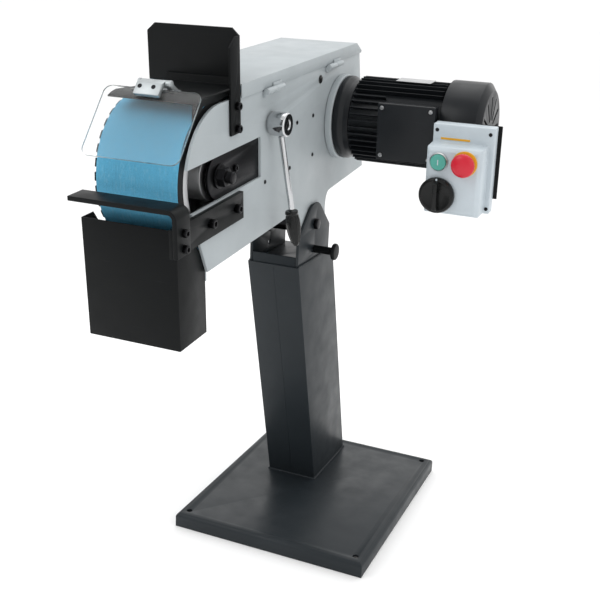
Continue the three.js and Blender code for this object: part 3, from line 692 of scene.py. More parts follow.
    @staticmethod
    def ring_places(
        count: int, centre: Point, skip: Callable[[float], bool] | None = None
    ) -> list[Matrix]:
        """Gives turns about an X axis through a point.

        Args:
            count: How many places fill the circle.
            centre: A point on the axis.
            skip: Says which angles, in degrees, are left out.

        Returns:
            One matrix for each place.
        """
        centre_at = Matrix.Translation(centre)
        angles = [360.0 * i / count for i in range(count)]
        kept = [a for a in angles if skip is None or not skip(a)]
        return [centre_at @ Matrix.Rotation(math.radians(a), 4, "X") for a in kept]


class Workshop:
    """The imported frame, its finishes, and the hand-over of finished pieces."""

    def __init__(self, frame: dict) -> None:
        """Reads the frame and makes every finish's material.
        """
        record = frame["record"]
        self.nodes: dict[str, bpy.types.Object] = frame["nodes"]
        self.slots = {entry["node"]: entry["material_slot"] for entry in record["subparts"]}
        bodies = record["behaviour"]["bodies"]
        self.body_of = {node: body for body, nodes in bodies.items() for node in nodes}
        self.joints = {joint["name"]: joint for joint in frame["joints"]}
        self.materials = {coat: finish.material() for coat, finish in FINISHES.items()}
        pivot = Vector(self.joints["head_tilt"]["pos_m"])
        along = Vector(self.joints["carriage_slide"]["axis"])
        tilt = math.atan2(along.z, along.y)
        self.head = Matrix.Translation(pivot) @ Matrix.Rotation(tilt, 4, "X")

    def span(self, node: str) -> tuple[Vector, Vector]:
        """Gives a node's lowest and highest corners in the head's own frame.

        Args:
            node: The frame node's name.

        Returns:
            The two corners.
        """
        back = self.head.inverted()
        points = [back @ vertex.co for vertex in self.nodes[node].data.vertices]
        low = Vector([min(p[i] for p in points) for i in range(3)])
        high = Vector([max(p[i] for p in points) for i in range(3)])
        return low, high

    def joint_point(self, joint: str) -> Vector:
        """Gives a joint's place in the head's own frame."""
        return self.head.inverted() @ Vector(self.joints[joint]["pos_m"])

    def hand_over(
        self, piece: bpy.types.Object, body: str, coat: Coat, *nodes: str
    ) -> bpy.types.Object:
        """Paints a piece, fixes it to its body and hides what it stands for.

        Args:
            piece: The finished piece.
            body: The body that it rides on.
            coat: Its finish.
            *nodes: The frame nodes that it replaces.

        Returns:
            The same piece.
        """
        piece.data.materials.clear()
        piece.data.materials.append(self.materials[coat])
        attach(piece, body)
        if nodes:
            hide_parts(*nodes)
        LOG.info("%s: %d faces on %s", piece.name, len(piece.data.polygons), body)
        return piece

    def softened(self, node: str, width: float, segments: int = 2) -> bpy.types.Object:
        """Replaces a frame node with a copy whose edges are rounded.

        Args:
            node: The frame node's name.
            width: How wide the rounding is.
            segments: How many steps it has.

        Returns:
            The new piece.
        """
        piece = Bench.traced(node + "_finished", self.nodes[node])
        Bench.rounded(piece, width, segments)
        return self.hand_over(piece, self.body_of[node], Coat(self.slots[node]), node)

    def head_piece(
        self, piece: bpy.types.Object, body: str, coat: Coat, *nodes: str
    ) -> bpy.types.Object:
        """Hands over a piece that was modelled in the head's own frame.

        Args:
            piece: The finished piece.
            body: The body that it rides on.
            coat: Its finish.
            *nodes: The frame nodes that it replaces.

        Returns:
            The same piece.
        """
        Bench.move(piece, self.head)
        return self.hand_over(piece, body, coat, *nodes)


def screw_head(
    name: str, centre: Point, axis: Axis, radius: float, outward: float, depth: float = 0.0025
) -> bpy.types.Object:
    """Models a pan-head screw with a hexagon socket.

    Args:
        name: The piece's name.
        centre: The middle of its seat.
        axis: The axis that it points along.
        radius: The head's radius.
        outward: 1 or -1, the way that the head faces along the axis.
        depth: The head's height.

    Returns:
        The new piece.
    """
    profile = [
        (radius, 0.0),
        (radius, outward * depth * 0.55),
        (radius * 0.8, outward * depth),
        (radius * 0.42, outward * depth),
        (radius * 0.38, outward * depth * 0.3),
    ]
    return Bench.turned(name, profile, centre, axis, 18)


def facing_circle(low: Vector, high: Vector) -> tuple[float, float, float]:
    """Gives the middle and radius of a round piece that points along Y.

    Args:
        low: Its lowest corner.
        high: Its highest corner.

    Returns:
        The middle's X and Z, and the radius.
    """
    return (low.x + high.x) / 2, (low.z + high.z) / 2, (high.x - low.x) / 2


# ---- Sub-assemblies ----


@dataclass
class Stand:
    """The base plate, the leaning column and the fork on top of it."""

    lean: float = math.radians(15.2)
    depth: float = 0.190
    seam: float = 0.0016
    bead: float = 0.0032
    pitch: float = 0.0034

    def build(self, shop: Workshop) -> None:
        """Builds the stand.

        Args:
            shop: The workshop.
        """
        shop.softened("base_plate", 0.0012)
        shop.softened("base_crossbar", 0.002)
        shop.softened("column", 0.0022, 3)
        for side in ("right", "left"):
            shop.softened("fork_ear_" + side, 0.0009)
        shop.softened("pivot_bolt", 0.0008)
        shop.softened("tilt_lock_screw", 0.0012)
        self.build_seam(shop)
        self.build_welds(shop)

    def build_seam(self, shop: Workshop) -> None:
        """Lays the welded seam down the middle of the column's front.

        Args:
            shop: The workshop.
        """
        low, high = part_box("column")
        foot = Vector(((low.x + high.x) / 2, high.y - self.depth, low.z))
        top = shop.joints["head_tilt"]["pos_m"][2] - 0.075
        length = (top - foot.z) / math.cos(self.lean)
        half = self.seam / 2
        strip = Bench.block("column_seam", (-half, -0.0004, 0.002), (half, 0.0006, length - 0.001))
        Bench.rounded(strip, 0.0002)
        Bench.move(strip, Matrix.Translation(foot) @ Matrix.Rotation(self.lean, 4, "X"))
        shop.hand_over(strip, "stand", Coat.STAND)

    def weld(self, name: str, corners: Sequence[Point]) -> bpy.types.Object:
        """Lays a rippled weld bead along a path of straight runs.

        Args:
            name: The piece's name.
            corners: The path's corners.

        Returns:
            The new piece.
        """
        Bench.clear()
        bpy.ops.mesh.primitive_uv_sphere_add(segments=10, ring_count=6, radius=self.bead)
        drop = Bench.named(name)
        bpy.ops.object.mode_set(mode="EDIT")
        bpy.ops.mesh.select_all(action="SELECT")
        bpy.ops.transform.resize(value=(1.0, 1.0, 0.75), center_override=(0, 0, 0))
        bpy.ops.object.mode_set(mode="OBJECT")
        bpy.ops.object.shade_smooth()
        places = []
        for start, end in zip(map(Vector, corners), map(Vector, corners[1:])):
            count = max(1, round((end - start).length / self.pitch))
            places += [Matrix.Translation(start.lerp(end, i / count)) for i in range(count)]
        return Bench.repeated(name, drop, places)

    def build_welds(self, shop: Workshop) -> None:
        """Welds the column to the base, and the fork's cheeks to the column.

        Args:
            shop: The workshop.
        """
        low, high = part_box("column")
        front = high.y - self.depth
        z = low.z
        foot = [(low.x, front, z), (high.x, front, z), (high.x, high.y, z), (low.x, high.y, z)]
        shop.hand_over(self.weld("column_foot_weld", [*foot, foot[0]]), "stand", Coat.STAND)
        for side, outer in (("right", 1), ("left", -1)):
            ear_low, ear_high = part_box("fork_ear_" + side)
            x = ear_high.x if outer > 0 else ear_low.x
            run = [(x, ear_low.y + 0.003, ear_low.z), (x, ear_high.y - 0.003, ear_low.z)]
            shop.hand_over(self.weld(f"fork_{side}_weld", run), "stand", Coat.STAND)


@dataclass
class HeadShell:
    """The side panel, floor, rear wall and hinged belt cover."""

    screw: float = 0.0040
    plug: float = 0.0085
    screws: tuple[tuple[float, float], ...] = (
        (-0.006, 0.227),
        (-0.085, 0.228),
        (-0.007, 0.148),
        (-0.119, 0.147),
        (-0.229, 0.147),
        (-0.199, 0.267),
        (0.076, 0.315),
    )
    plugs: tuple[tuple[float, float], ...] = ((0.029, 0.293),)
    wall_slope: float = math.atan2(0.041, 0.265)
    wall_top: tuple[float, float] = (0.251, 0.320)
    port_height: float = 0.160

    def build(self, shop: Workshop) -> None:
        """Builds the shell.

        Args:
            shop: The workshop.
        """
        for node in ("side_panel", "housing_floor", "rear_wall", "belt_cover"):
            shop.softened(node, 0.0007)
        shop.softened("dust_port", 0.0008)
        shop.softened("pivot_tube", 0.0006)
        for end in ("front", "rear"):
            shop.softened("cover_hinge_leaf_" + end, 0.0002)
            shop.softened("cover_knuckle_" + end, 0.0002)
        self.build_fasteners(shop)
        self.build_port_clips(shop)

    def build_fasteners(self, shop: Workshop) -> None:
        """Fits the panel's small screws and its round blanking plugs.

        Args:
            shop: The workshop.
        """
        face = shop.span("motor_ring")[0].x - 0.0003
        small = [
            screw_head("panel_screw", (face, y, z), Axis.X, self.screw, 1, 0.0016)
            for y, z in self.screws
        ]
        shop.head_piece(Bench.joined("panel_screws", small), "head", Coat.BLACK_STEEL)
        r = self.plug
        dome = [(r, 0.0), (r, 0.0012), (r * 0.85, 0.0024), (r * 0.4, 0.003), (r * 0.3, 0.0012)]
        round_plugs = [
            Bench.turned("panel_plug", dome, (face, y, z), Axis.X, 28) for y, z in self.plugs
        ]
        shop.head_piece(Bench.joined("panel_plugs", round_plugs), "head", Coat.BLACK_PLASTIC)

    def build_port_clips(self, shop: Workshop) -> None:
        """Fits the four screws of the dust spigot's flange.

        Args:
            shop: The workshop.
        """
        low, high = shop.span("dust_port")
        turn = Matrix.Rotation(self.wall_slope, 4, "X")
        reach = (high.x - low.x) / 2 - 0.0055
        heads = []
        for angle in (45, 135, 225, 315):
            a = math.radians(angle)
            seat = Vector((reach * math.cos(a), 0.0034, reach * math.sin(a)))
            heads.append(screw_head("port_screw", tuple(seat), Axis.Y, 0.0035, 1, 0.002))
        port = Bench.joined("port_screws", heads)
        depth, top = self.wall_top
        depth += (top - self.port_height) * math.tan(self.wall_slope)
        place = Matrix.Translation(((low.x + high.x) / 2, depth, self.port_height))
        Bench.move(port, place @ turn)
        shop.head_piece(port, "head", Coat.BLACK_STEEL)


@dataclass
class BeltDrive:
    """The abrasive belt and the two wheels that it runs on."""

    lugs: int = 34
    lug_width: float = 0.0145
    core: float = 0.1125

    def build(self, shop: Workshop) -> None:
        """Builds the belt and its wheels.

        Args:
            shop: The workshop.
        """
        shop.softened("abrasive_belt", 0.0002)
        for node in ("contact_wheel_hub", "drive_wheel", "wheel_axle", "motor_shaft"):
            shop.softened(node, 0.0009)
        for node in ("axle_nut", "wheel_bearing_left", "wheel_bearing_right"):
            shop.softened(node, 0.0006)
        self.build_tyre(shop)

    def build_tyre(self, shop: Workshop) -> None:
        """Models the serrated rubber tyre: a band with straight, unslanted lugs round it.

        Args:
            shop: The workshop.
        """
        low, high = shop.span("contact_wheel_tyre")
        centre = (0.0, (low.y + high.y) / 2, (low.z + high.z) / 2)
        hub_low, hub_high = shop.span("contact_wheel_hub")
        inner = (hub_high.z - hub_low.z) / 2 + 0.0003
        outer = (high.z - low.z) / 2
        left, right = low.x, high.x
        band = [(inner, left + 0.002), (self.core, left + 0.002), (self.core, right), (inner, right)]
        core = Bench.turned("tyre_band", band, centre, Axis.X, 96, ring=True)
        rim_r = [(self.core - 0.001, right - 0.012), (outer - 0.0006, right - 0.012)]
        rim_r += [(outer - 0.0006, right - 0.001), (outer - 0.0016, right), (self.core - 0.001, right)]
        rim = Bench.turned("tyre_rim", rim_r, centre, Axis.X, 96, ring=True)
        half = self.lug_width / 2
        lug = Bench.block("tyre_lug", (left, -half, self.core - 0.001), (right - 0.013, half, outer))
        Bench.pick(lug, lambda middle, normal: normal.z > 0.5)
        bpy.ops.mesh.inset(thickness=0.0008)
        bpy.ops.object.mode_set(mode="OBJECT")
        Bench.rounded(lug, 0.0006, 1)
        lugs = Bench.repeated("tyre_lugs", lug, Bench.ring_places(self.lugs, centre))
        tyre = Bench.joined("contact_wheel_tyre_serrated", [core, rim, lugs])
        shop.head_piece(tyre, "contact_wheel", Coat.TYRE, "contact_wheel_tyre")


@dataclass
class TensionGear:
    """The carriage, its spring, and the lever that slackens the belt."""

    flutes: int = 10
    ridge: float = 0.0011
    adjuster: tuple[float, float] = (-0.338, 0.199)

    def build(self, shop: Workshop) -> None:
        """Builds the tension gear.

        Args:
            shop: The workshop.
        """
        shop.softened("tension_carriage", 0.0009)
        shop.softened("tension_lever_rod", 0.0006)
        self.build_spring(shop)
        self.build_adjuster(shop)
        self.build_hub(shop)
        self.build_grip(shop)

    def build_spring(self, shop: Workshop) -> None:
        """Fits a rounded copy of the spring as it stands, fixed to no body, so it does not give as the
        carriage pushes its front end back.

        Args:
            shop: The workshop.
        """
        spring = Bench.traced("tension_spring_finished", shop.nodes["tension_spring"])
        Bench.rounded(spring, 0.0002, 1)
        spring.data.materials.clear()
        spring.data.materials.append(shop.materials[Coat(shop.slots["tension_spring"])])
        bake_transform(spring)
        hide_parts("tension_spring")

    def build_adjuster(self, shop: Workshop) -> None:
        """Screws the small tracking bolt into the carriage's near cheek.

        Args:
            shop: The workshop.
        """
        cheek = shop.span("tension_carriage")[1].x
        head = [(0.0065, 0.0), (0.0065, 0.0046), (0.0058, 0.0054), (0.0034, 0.0054), (0.0032, 0.0020)]
        bolt = Bench.turned("tracking_bolt", head, (cheek, *self.adjuster), Axis.X, 6)
        shop.head_piece(Bench.rounded(bolt, 0.0004, 1), "carriage", Coat.BLACK_STEEL)

    def build_hub(self, shop: Workshop) -> None:
        """Turns the chromed hub with its flat-bottomed face and its shaft.

        Args:
            shop: The workshop.
        """
        pos = shop.joint_point("tension_lever_turn")
        low, high = shop.span("tension_lever_hub")
        r = (high.z - low.z) / 2
        profile = [
            (0.008, low.x),
            (0.008, -0.0162),
            (r - 0.003, -0.0162),
            (r - 0.003, -0.0125),
            (r, -0.0115),
            (r, high.x - 0.0022),
            (r - 0.0022, high.x),
            (r * 0.40, high.x),
            (r * 0.37, high.x - 0.003),
        ]
        hub = Bench.turned("tension_lever_boss", profile, (0, pos.y, pos.z), Axis.X, 72)
        Bench.rounded(hub, 0.0006, 2)
        shop.head_piece(hub, "lever", Coat.CHROME, "tension_lever_hub")
        core = [(r * 0.36, 0.0), (r * 0.36, 0.0010), (r * 0.28, 0.0016), (r * 0.16, 0.0006)]
        end = Bench.turned("lever_shaft_end", core, (high.x - 0.0032, pos.y, pos.z), Axis.X, 32)
        shop.head_piece(Bench.rounded(end, 0.0002, 1), "lever", Coat.BLACK_STEEL)

    def build_grip(self, shop: Workshop) -> None:
        """Turns the fluted plastic grip on the end of the lever's rod.

        Args:
            shop: The workshop.
        """
        pos = shop.joint_point("tension_lever_turn")
        low, high = shop.span("tension_lever_grip")
        tip = (low + high) / 2
        root = Vector((0.002, pos.y, pos.z))
        along = (tip - root).normalized()
        shape = [(0.0112, 0.1635), (0.0122, 0.1650), (0.0124, 0.1690), (0.0112, 0.1705)]
        swell = [(0.0116, 0.1725), (0.0130, 0.180), (0.0136, 0.189), (0.0132, 0.199)]
        swell += [(0.0120, 0.209), (0.0100, 0.218), (0.0076, 0.226)]
        tip_end = [(0.0060, 0.2300), (0.0042, 0.2320), (0.0015, 0.2326)]
        body = Bench.turned("grip_body", [*shape, *swell, *tip_end], (0, 0, 0), Axis.Z, 40)
        Bench.rounded(body, 0.0003, 1)
        path = [(r - self.ridge * 0.35, 0.0, h) for r, h in swell]
        ridge = Bench.strand("grip_ridge", path, self.ridge)
        bpy.ops.object.shade_smooth()
        turns = [Matrix.Rotation(2 * math.pi * i / self.flutes, 4, "Z") for i in range(self.flutes)]
        ridges = Bench.repeated("grip_ridges", ridge, turns)
        grip = Bench.joined("tension_lever_handle", [body, ridges])
        aim = along.to_track_quat("Z", "Y").to_matrix().to_4x4()
        Bench.move(grip, Matrix.Translation(root) @ aim)
        shop.head_piece(grip, "lever", Coat.BLACK_PLASTIC, "tension_lever_grip")


@dataclass
class Guards:
    """The upright guard, the spark deflector and the hinged visor."""

    hole: float = 0.0038

    def build(self, shop: Workshop) -> None:
        """Builds the guards.

        Args:
            shop: The workshop.
        """
        shop.softened("guard_plate", 0.0008)
        shop.softened("guard_bolt_upper", 0.0007)
        shop.softened("guard_bolt_lower", 0.0007)
        shop.softened("spark_deflector", 0.0006)
        shop.softened("visor_bracket", 0.0005)
        shop.softened("visor_clamp", 0.0012)
        self.build_clamp_screws(shop)
        self.build_pane(shop)

    def build_clamp_screws(self, shop: Workshop) -> None:
        """Sinks the two clamp screws into the hinge block's face.

        Args:
            shop: The workshop.
        """
        faces = shop.nodes["visor_clamp"].data.polygons
        plate = max(faces, key=lambda face: -face.normal.y * face.area)
        normal = plate.normal.copy()
        low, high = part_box("visor_clamp")
        middle = Vector(plate.center)
        middle.x = (low.x + high.x) / 2
        r = self.hole
        cup = [(r, -0.0002), (r, 0.0004), (r * 0.82, 0.0006), (r * 0.78, 0.0001)]
        aim = normal.to_track_quat("Z", "X").to_matrix().to_4x4()
        heads = []
        for across in (-0.015, 0.010):
            head = Bench.turned("clamp_screw", cup, (0, 0, 0), Axis.Z, 24)
            heads.append(Bench.move(head, Matrix.Translation(middle + Vector((across, 0, 0))) @ aim))
        shop.hand_over(Bench.joined("clamp_screws", heads), "visor", Coat.BLACK_STEEL)

    def build_pane(self, shop: Workshop) -> None:
        """Copies the visor's pane and gives its sawn edges a darker glass.

        Args:
            shop: The workshop.
        """
        pane = shop.softened("visor_pane", 0.0004, 1)
        broad = max(pane.data.polygons, key=lambda face: face.area).normal.copy()
        edge = Graph("sawn_pane_edge", Transmission_Weight=0.5, IOR=1.25)
        grain = edge.noise(500.0, 3.0, edge.stretched((0.2, 1.0, 1.0)))
        edge.feed("Base Color", edge.between(grain, (0.20, 0.24, 0.25), (0.34, 0.39, 0.40)))
        edge.feed("Roughness", edge.ranged(grain, 0.3, 0.7, 0.2, 0.4))
        pane.data.materials.append(edge.material)
        for face in pane.data.polygons:
            face.material_index = int(abs(face.normal.dot(broad)) < 0.6)


@dataclass
class ToolRest:
    """The bent tool rest on its slotted bar, and the spark bin under it."""

    def build(self, shop: Workshop) -> None:
        """Builds the rest and the bin.

        Args:
            shop: The workshop.
        """
        shop.softened("rest_plate", 0.0011, 3)
        shop.softened("rest_bar", 0.0009)
        shop.softened("spark_bin", 0.0007)
        for name in ("rest_bolt_front", "rest_bolt_rear", "rest_leg_bolt_upper", "rest_leg_bolt_lower"):
            shop.softened(name, 0.0007)


@dataclass
class MotorUnit:
    """The flange motor with its ribs, terminal box and fan cowl."""

    ribs: int = 40
    rib_root: float = 0.0026
    rib_tip: float = 0.0014
    core: float = 0.0775
    plate_reach: tuple[float, float] = (0.112, 0.186)

    def build(self, shop: Workshop) -> None:
        """Builds the motor.

        Args:
            shop: The workshop.
        """
        shop.softened("motor_ring", 0.0022, 3)
        shop.softened("motor_flange", 0.0015, 3)
        shop.softened("fan_cowl", 0.0009)
        shop.softened("motor_fan", 0.0005, 1)
        shop.softened("terminal_box", 0.003, 3)
        self.build_barrel(shop)
        self.build_trim(shop)

    def build_barrel(self, shop: Workshop) -> None:
        """Models the ribbed barrel, bare behind the terminal box.

        Args:
            shop: The workshop.
        """
        low, high = shop.span("motor_body")
        axis = shop.joint_point("drive_spin")
        tip = (high.z - low.z) / 2
        middle = (0.0, axis.y, axis.z)
        barrel = Bench.turned(
            "motor_barrel",
            [(self.core, low.x), (self.core, high.x)],
            middle,
            Axis.X,
            96,
        )
        half = self.rib_root / 2
        front = (low.x + 0.003, -half, self.core - 0.001)
        rib = Bench.block("motor_rib", front, (high.x - 0.003, half, tip))
        Bench.pick(rib, lambda face, normal: normal.z > 0.5)
        taper = (0.995, self.rib_tip / self.rib_root, 1.0)
        bpy.ops.transform.resize(value=taper, center_override=(0, 0, tip))
        bpy.ops.object.mode_set(mode="OBJECT")
        Bench.rounded(rib, 0.0004, 1)
        places = Bench.ring_places(self.ribs, middle, lambda a: 44.0 < a < 136.0)
        ribs = Bench.repeated("motor_ribs", rib, places)
        box_low = shop.span("terminal_box")[0]
        short = Bench.block("motor_short_rib", front, (box_low.x - 0.003, half, tip))
        Bench.rounded(short, 0.0004, 1)
        turned_to = Bench.ring_places(self.ribs, middle, lambda a: not 44.0 < a < 136.0)
        front_ribs = Bench.repeated("motor_short_ribs", short, turned_to)
        body = Bench.joined("motor_body_ribbed", [Bench.rounded(barrel, 0.001), ribs, front_ribs])
        shop.head_piece(body, "head", Coat.MOTOR, "motor_body")

    def build_trim(self, shop: Workshop) -> None:
        """Adds the terminal box's screws and the blank rating plate.

        Args:
            shop: The workshop.
        """
        low, high = shop.span("terminal_box")
        inset = 0.009
        across, up = (low.x + inset, high.x - inset), (low.z + inset, high.z - inset)
        spots = [(x, z) for x in across for z in up]
        lid = [screw_head("lid_screw", (x, low.y, z), Axis.Y, 0.0042, -1) for x, z in spots]
        shop.head_piece(Bench.joined("terminal_box_screws", lid), "head", Coat.STEEL)
        axis = shop.joint_point("drive_spin")
        body_low, body_high = shop.span("motor_body")
        top = axis.z + (body_high.z - body_low.z) / 2
        left, right = self.plate_reach
        plate = Bench.block(
            "rating_plate",
            (left, axis.y - 0.022, top - 0.0006),
            (right, axis.y + 0.016, top + 0.0006),
        )
        Bench.rounded(plate, 0.0005)
        shop.head_piece(plate, "head", Coat.STEEL)


@dataclass
class Controls:
    """The control box with its start button, emergency stop and rotary switch."""

    step: float = 0.004
    face_right: float = 0.338
    face_top: float = 0.200

    def build(self, shop: Workshop) -> None:
        """Builds the controls.

        Args:
            shop: The workshop.
        """
        shop.softened("control_back_plate", 0.0012)
        shop.softened("control_bracket", 0.0007)
        shop.softened("stop_collar", 0.0007)
        self.build_box(shop)
        self.build_start(shop)
        self.build_stop(shop)
        self.build_selector(shop)

    def build_box(self, shop: Workshop) -> None:
        """Models the case: a tray whose front is drawn out into a bevelled panel.

        Args:
            shop: The workshop.
        """
        low, high = shop.span("control_box")
        step, right, top = self.step, self.face_right, self.face_top
        case = Bench.block("control_case", (low.x, step, low.z), (high.x, high.y, high.z))
        for spot, normal in (((right, 0, 0), (1, 0, 0)), ((0, 0, top), (0, 0, 1))):
            Bench.pick(case, lambda face, way: True)
            bpy.ops.mesh.bisect(plane_co=spot, plane_no=normal)
            bpy.ops.object.mode_set(mode="OBJECT")
        Bench.pick(case, lambda face, way: way.y < -0.5 and face.x < right and face.z < top)
        middle = ((low.x + right) / 2, 0.0, (low.z + top) / 2)
        for reach, width, height in ((0.0365, 0.985, 0.985), (0.0075, 0.87, 0.89)):
            bpy.ops.mesh.extrude_region_move(TRANSFORM_OT_translate={"value": (0, -reach, 0)})
            bpy.ops.transform.resize(value=(width, 1.0, height), center_override=middle)
        bpy.ops.object.mode_set(mode="OBJECT")
        Bench.rounded(case, 0.0026, 3, 20.0)
        shop.head_piece(case, "head", Coat.GREY_PLASTIC, "control_box")
        upper = high.z - 0.012
        spots = ((low.x + 0.008, upper), (high.x - 0.009, upper), (high.x - 0.006, low.z + 0.010))
        screws = [screw_head("case_screw", (x, step, z), Axis.Y, 0.0036, -1, 0.0015) for x, z in spots]
        shop.head_piece(Bench.joined("case_screws", screws), "head", Coat.BLACK_STEEL)
        line = Bench.block(
            "case_label_line",
            (low.x + 0.016, step - 0.0006, top + 0.0045),
            (low.x + 0.073, step + 0.001, top + 0.0085),
        )
        shop.head_piece(Bench.rounded(line, 0.0004), "head", Coat.YELLOW)

    def build_start(self, shop: Workshop) -> None:
        """Models the flush start button, its bezel and its upright mark.

        Args:
            shop: The workshop.
        """
        low, high = shop.span("start_button")
        x, z, r = facing_circle(low, high)
        face = shop.span("control_box")[0].y + 0.005
        ring = [(r + 0.0003, 0.0), (r + 0.0003, -0.0052), (r + 0.0012, -0.006), (r + 0.0028, -0.003)]
        ring += [(r + 0.0028, 0.0)]
        bezel = Bench.turned("start_bezel", ring, (x, face, z), Axis.Y, 56, ring=True)
        shop.head_piece(Bench.rounded(bezel, 0.0004), "head", Coat.ALUMINIUM)
        cap = [(r, high.y - face), (r, low.y - face + 0.001), (r - 0.0012, low.y - face)]
        cap += [(r * 0.7, low.y - face + 0.0004), (r * 0.1, low.y - face + 0.0009)]
        button = Bench.turned("start_cap", cap, (x, face, z), Axis.Y, 56)
        shop.head_piece(Bench.rounded(button, 0.0003), "start", Coat.GREEN, "start_button")
        mark = Bench.block(
            "start_mark",
            (x - 0.0009, low.y - 0.0002, z - 0.0052),
            (x + 0.0009, low.y + 0.0012, z + 0.0052),
        )
        shop.head_piece(Bench.rounded(mark, 0.0003, 1), "start", Coat.GREY_PLASTIC)

    def build_stop(self, shop: Workshop) -> None:
        """Models the domed mushroom of the emergency stop.

        Args:
            shop: The workshop.
        """
        low, high = shop.span("emergency_stop")
        x, z, r = facing_circle(low, high)
        tip = low.y
        stem = [(0.0095, high.y), (0.0095, tip + 0.0155)]
        skirt = [(r - 0.003, tip + 0.0152), (r - 0.0006, tip + 0.0135)]
        angles = (0.0, 0.3, 0.6, 0.9, 1.2, 1.4)
        crown = [(r * math.cos(a), tip + 0.0095 * (1 - math.sin(a))) for a in angles]
        profile = [*stem, *skirt, *crown, (r * 0.05, tip)]
        cap = Bench.turned("stop_mushroom", profile, (x, 0, z), Axis.Y, 64)
        shop.head_piece(Bench.rounded(cap, 0.0004), "estop", Coat.RED, "emergency_stop")

    def build_selector(self, shop: Workshop) -> None:
        """Models the rotary switch: a fluted dial, its grip bar and a white mark.

        Args:
            shop: The workshop.
        """
        low, high = shop.span("selector_knob")
        x, z, r = facing_circle(low, high)
        back = shop.span("control_box")[0].y + 0.003
        dial = [(r, back), (r, back - 0.007), (r - 0.0018, back - 0.0105), (r - 0.006, back - 0.0115)]
        dial += [(r - 0.0095, back - 0.0095), (r * 0.2, back - 0.0095)]
        disc = Bench.turned("selector_dial", dial, (x, 0, z), Axis.Y, 72)
        bar = Bench.block(
            "selector_bar",
            (-0.0062, low.y + 0.0005, -r * 0.84),
            (0.0062, back - 0.009, r * 0.84),
        )
        Bench.pick(bar, lambda face, way: way.y < -0.5)
        bpy.ops.transform.resize(value=(0.62, 1.0, 0.9), center_override=(0, 0, 0))
        bpy.ops.object.mode_set(mode="OBJECT")
        Bench.rounded(bar, 0.0016, 3)
        Bench.move(bar, Matrix.Translation((x, 0, z)))
        knob = Bench.joined("selector_switch", [Bench.rounded(disc, 0.0006), bar])
        shop.head_piece(knob, "selector", Coat.BLACK_PLASTIC, "selector_knob")
        mark = Bench.block(
            "selector_mark",
            (x - 0.0016, back - 0.0122, z + r * 0.87),
            (x + 0.0016, back - 0.009, z + r * 0.975),
        )
        shop.head_piece(Bench.rounded(mark, 0.0004, 1), "selector", Coat.GREY_PLASTIC)


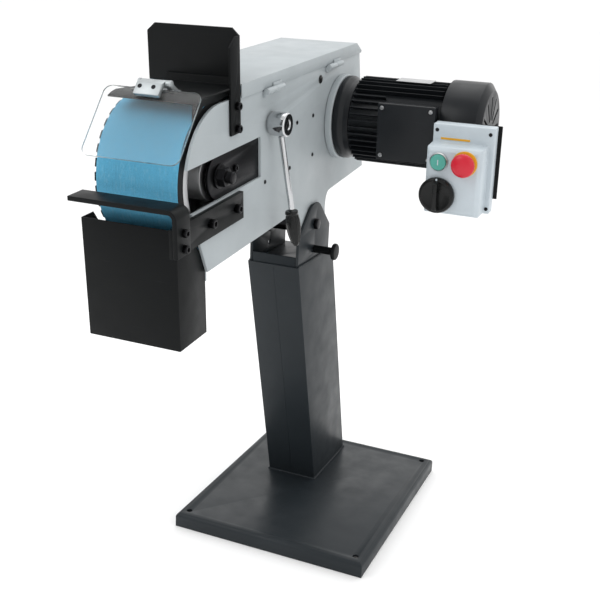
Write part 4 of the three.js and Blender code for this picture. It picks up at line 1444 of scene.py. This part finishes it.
@dataclass
class Studio:
    """The floor, the soft lights and the camera."""

    eye: Point = (0.7296, -1.8740, 1.1468)
    azimuth: float = 22.65
    elevation: float = 18.36
    roll: float = -2.61
    lens: float = 58.49

    def build(self) -> None:
        """Builds the studio."""
        self.build_floor()
        self.build_lights()
        self.build_camera()

    def build_floor(self) -> None:
        """Lays a plain pale floor just under the base."""
        Bench.clear()
        bpy.ops.mesh.primitive_plane_add(size=60.0, location=(0, 0, -0.0005))
        floor = Bench.named("studio_floor")
        white = (1.0, 1.0, 1.0)
        g = Graph("studio_floor", Roughness=0.85, Emission_Color=white, Emission_Strength=0.06)
        g.feed("Base Color", g.between(g.noise(2.0), (0.93, 0.93, 0.93), (0.96, 0.96, 0.96)))
        floor.data.materials.append(g.material)

    def light(self, name: str, place: Point, aim: Point, size: float, power: float) -> None:
        """Hangs one soft light.

        Args:
            name: The light's name.
            place: Where it hangs.
            aim: The point that it faces.
            size: Its width and height.
            power: Its power in watts.
        """
        data = bpy.data.lights.new(name, "AREA")
        data.size, data.energy = size, power
        lamp = bpy.data.objects.new(name, data)
        lamp.location = place
        lamp.rotation_mode = "QUATERNION"
        lamp.rotation_quaternion = (Vector(aim) - Vector(place)).to_track_quat("-Z", "Y")
        bpy.context.scene.collection.objects.link(lamp)

    def build_lights(self) -> None:
        """Sets a bright room, a key from the upper left, a fill and a top light."""
        world = bpy.data.worlds.new("studio_world")
        world.use_nodes = True
        nodes, links = world.node_tree.nodes, world.node_tree.links
        nodes["Background"].inputs["Color"].default_value = (1.0, 1.0, 1.0, 1.0)
        split = nodes.new("ShaderNodeSeparateXYZ")
        links.new(nodes.new("ShaderNodeTexCoord").outputs["Generated"], split.inputs[0])
        shade = nodes.new("ShaderNodeMapRange")
        for key, number in zip(("From Min", "From Max", "To Min", "To Max"), (-1, 1, 0.7, 1.3)):
            shade.inputs[key].default_value = number
        links.new(split.outputs["Y"], shade.inputs["Value"])
        links.new(shade.outputs["Result"], nodes["Background"].inputs["Strength"])
        bpy.context.scene.world = world
        bpy.context.scene.view_settings.view_transform = "Standard"
        self.light("key_light", (-1.8, -2.4, 3.0), (0, -0.1, 0.7), 2.0, 30.0)
        self.light("fill_light", (2.6, -1.6, 1.8), (0, 0, 0.7), 2.4, 10.0)
        self.light("top_light", (0.2, 0.9, 3.4), (0, 0, 0.6), 2.6, 28.0)

    def build_camera(self) -> None:
        """Sets the camera at the eye point."""
        a, e, r = (math.radians(v) for v in (self.azimuth, self.elevation, self.roll))
        back = Vector((math.sin(a) * math.cos(e), -math.cos(a) * math.cos(e), math.sin(e)))
        right = (-back).cross(Vector((0, 0, 1))).normalized()
        down = (-back).cross(right)
        across = math.cos(r) * right + math.sin(r) * down
        up = math.sin(r) * right - math.cos(r) * down
        data = bpy.data.cameras.new("camera")
        data.lens, data.sensor_width = self.lens, 36.0
        camera = bpy.data.objects.new("camera", data)
        basis = Matrix((across, up, back)).transposed()
        camera.matrix_world = Matrix.Translation(self.eye) @ basis.to_4x4()
        bpy.context.scene.collection.objects.link(camera)
        bpy.context.scene.camera = camera


def main() -> None:
    """Builds the machine's looks round the frame."""
    logging.basicConfig(level=logging.INFO, format="%(name)s: %(message)s")
    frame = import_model()
    shop = Workshop(frame)
    parts = (Stand, HeadShell, BeltDrive, TensionGear, Guards, ToolRest, MotorUnit, Controls)
    for part in parts:
        part().build(shop)
        LOG.info("%s built", part.__name__)
    left = [name for name, node in shop.nodes.items() if not node.hide_render]
    for name in left:
        LOG.info("%s is shown as the frame has it", name)
        shop.nodes[name].data.materials.clear()
        shop.nodes[name].data.materials.append(shop.materials[Coat(shop.slots[name])])
    Studio().build()


if __name__ == "__main__":
    main()
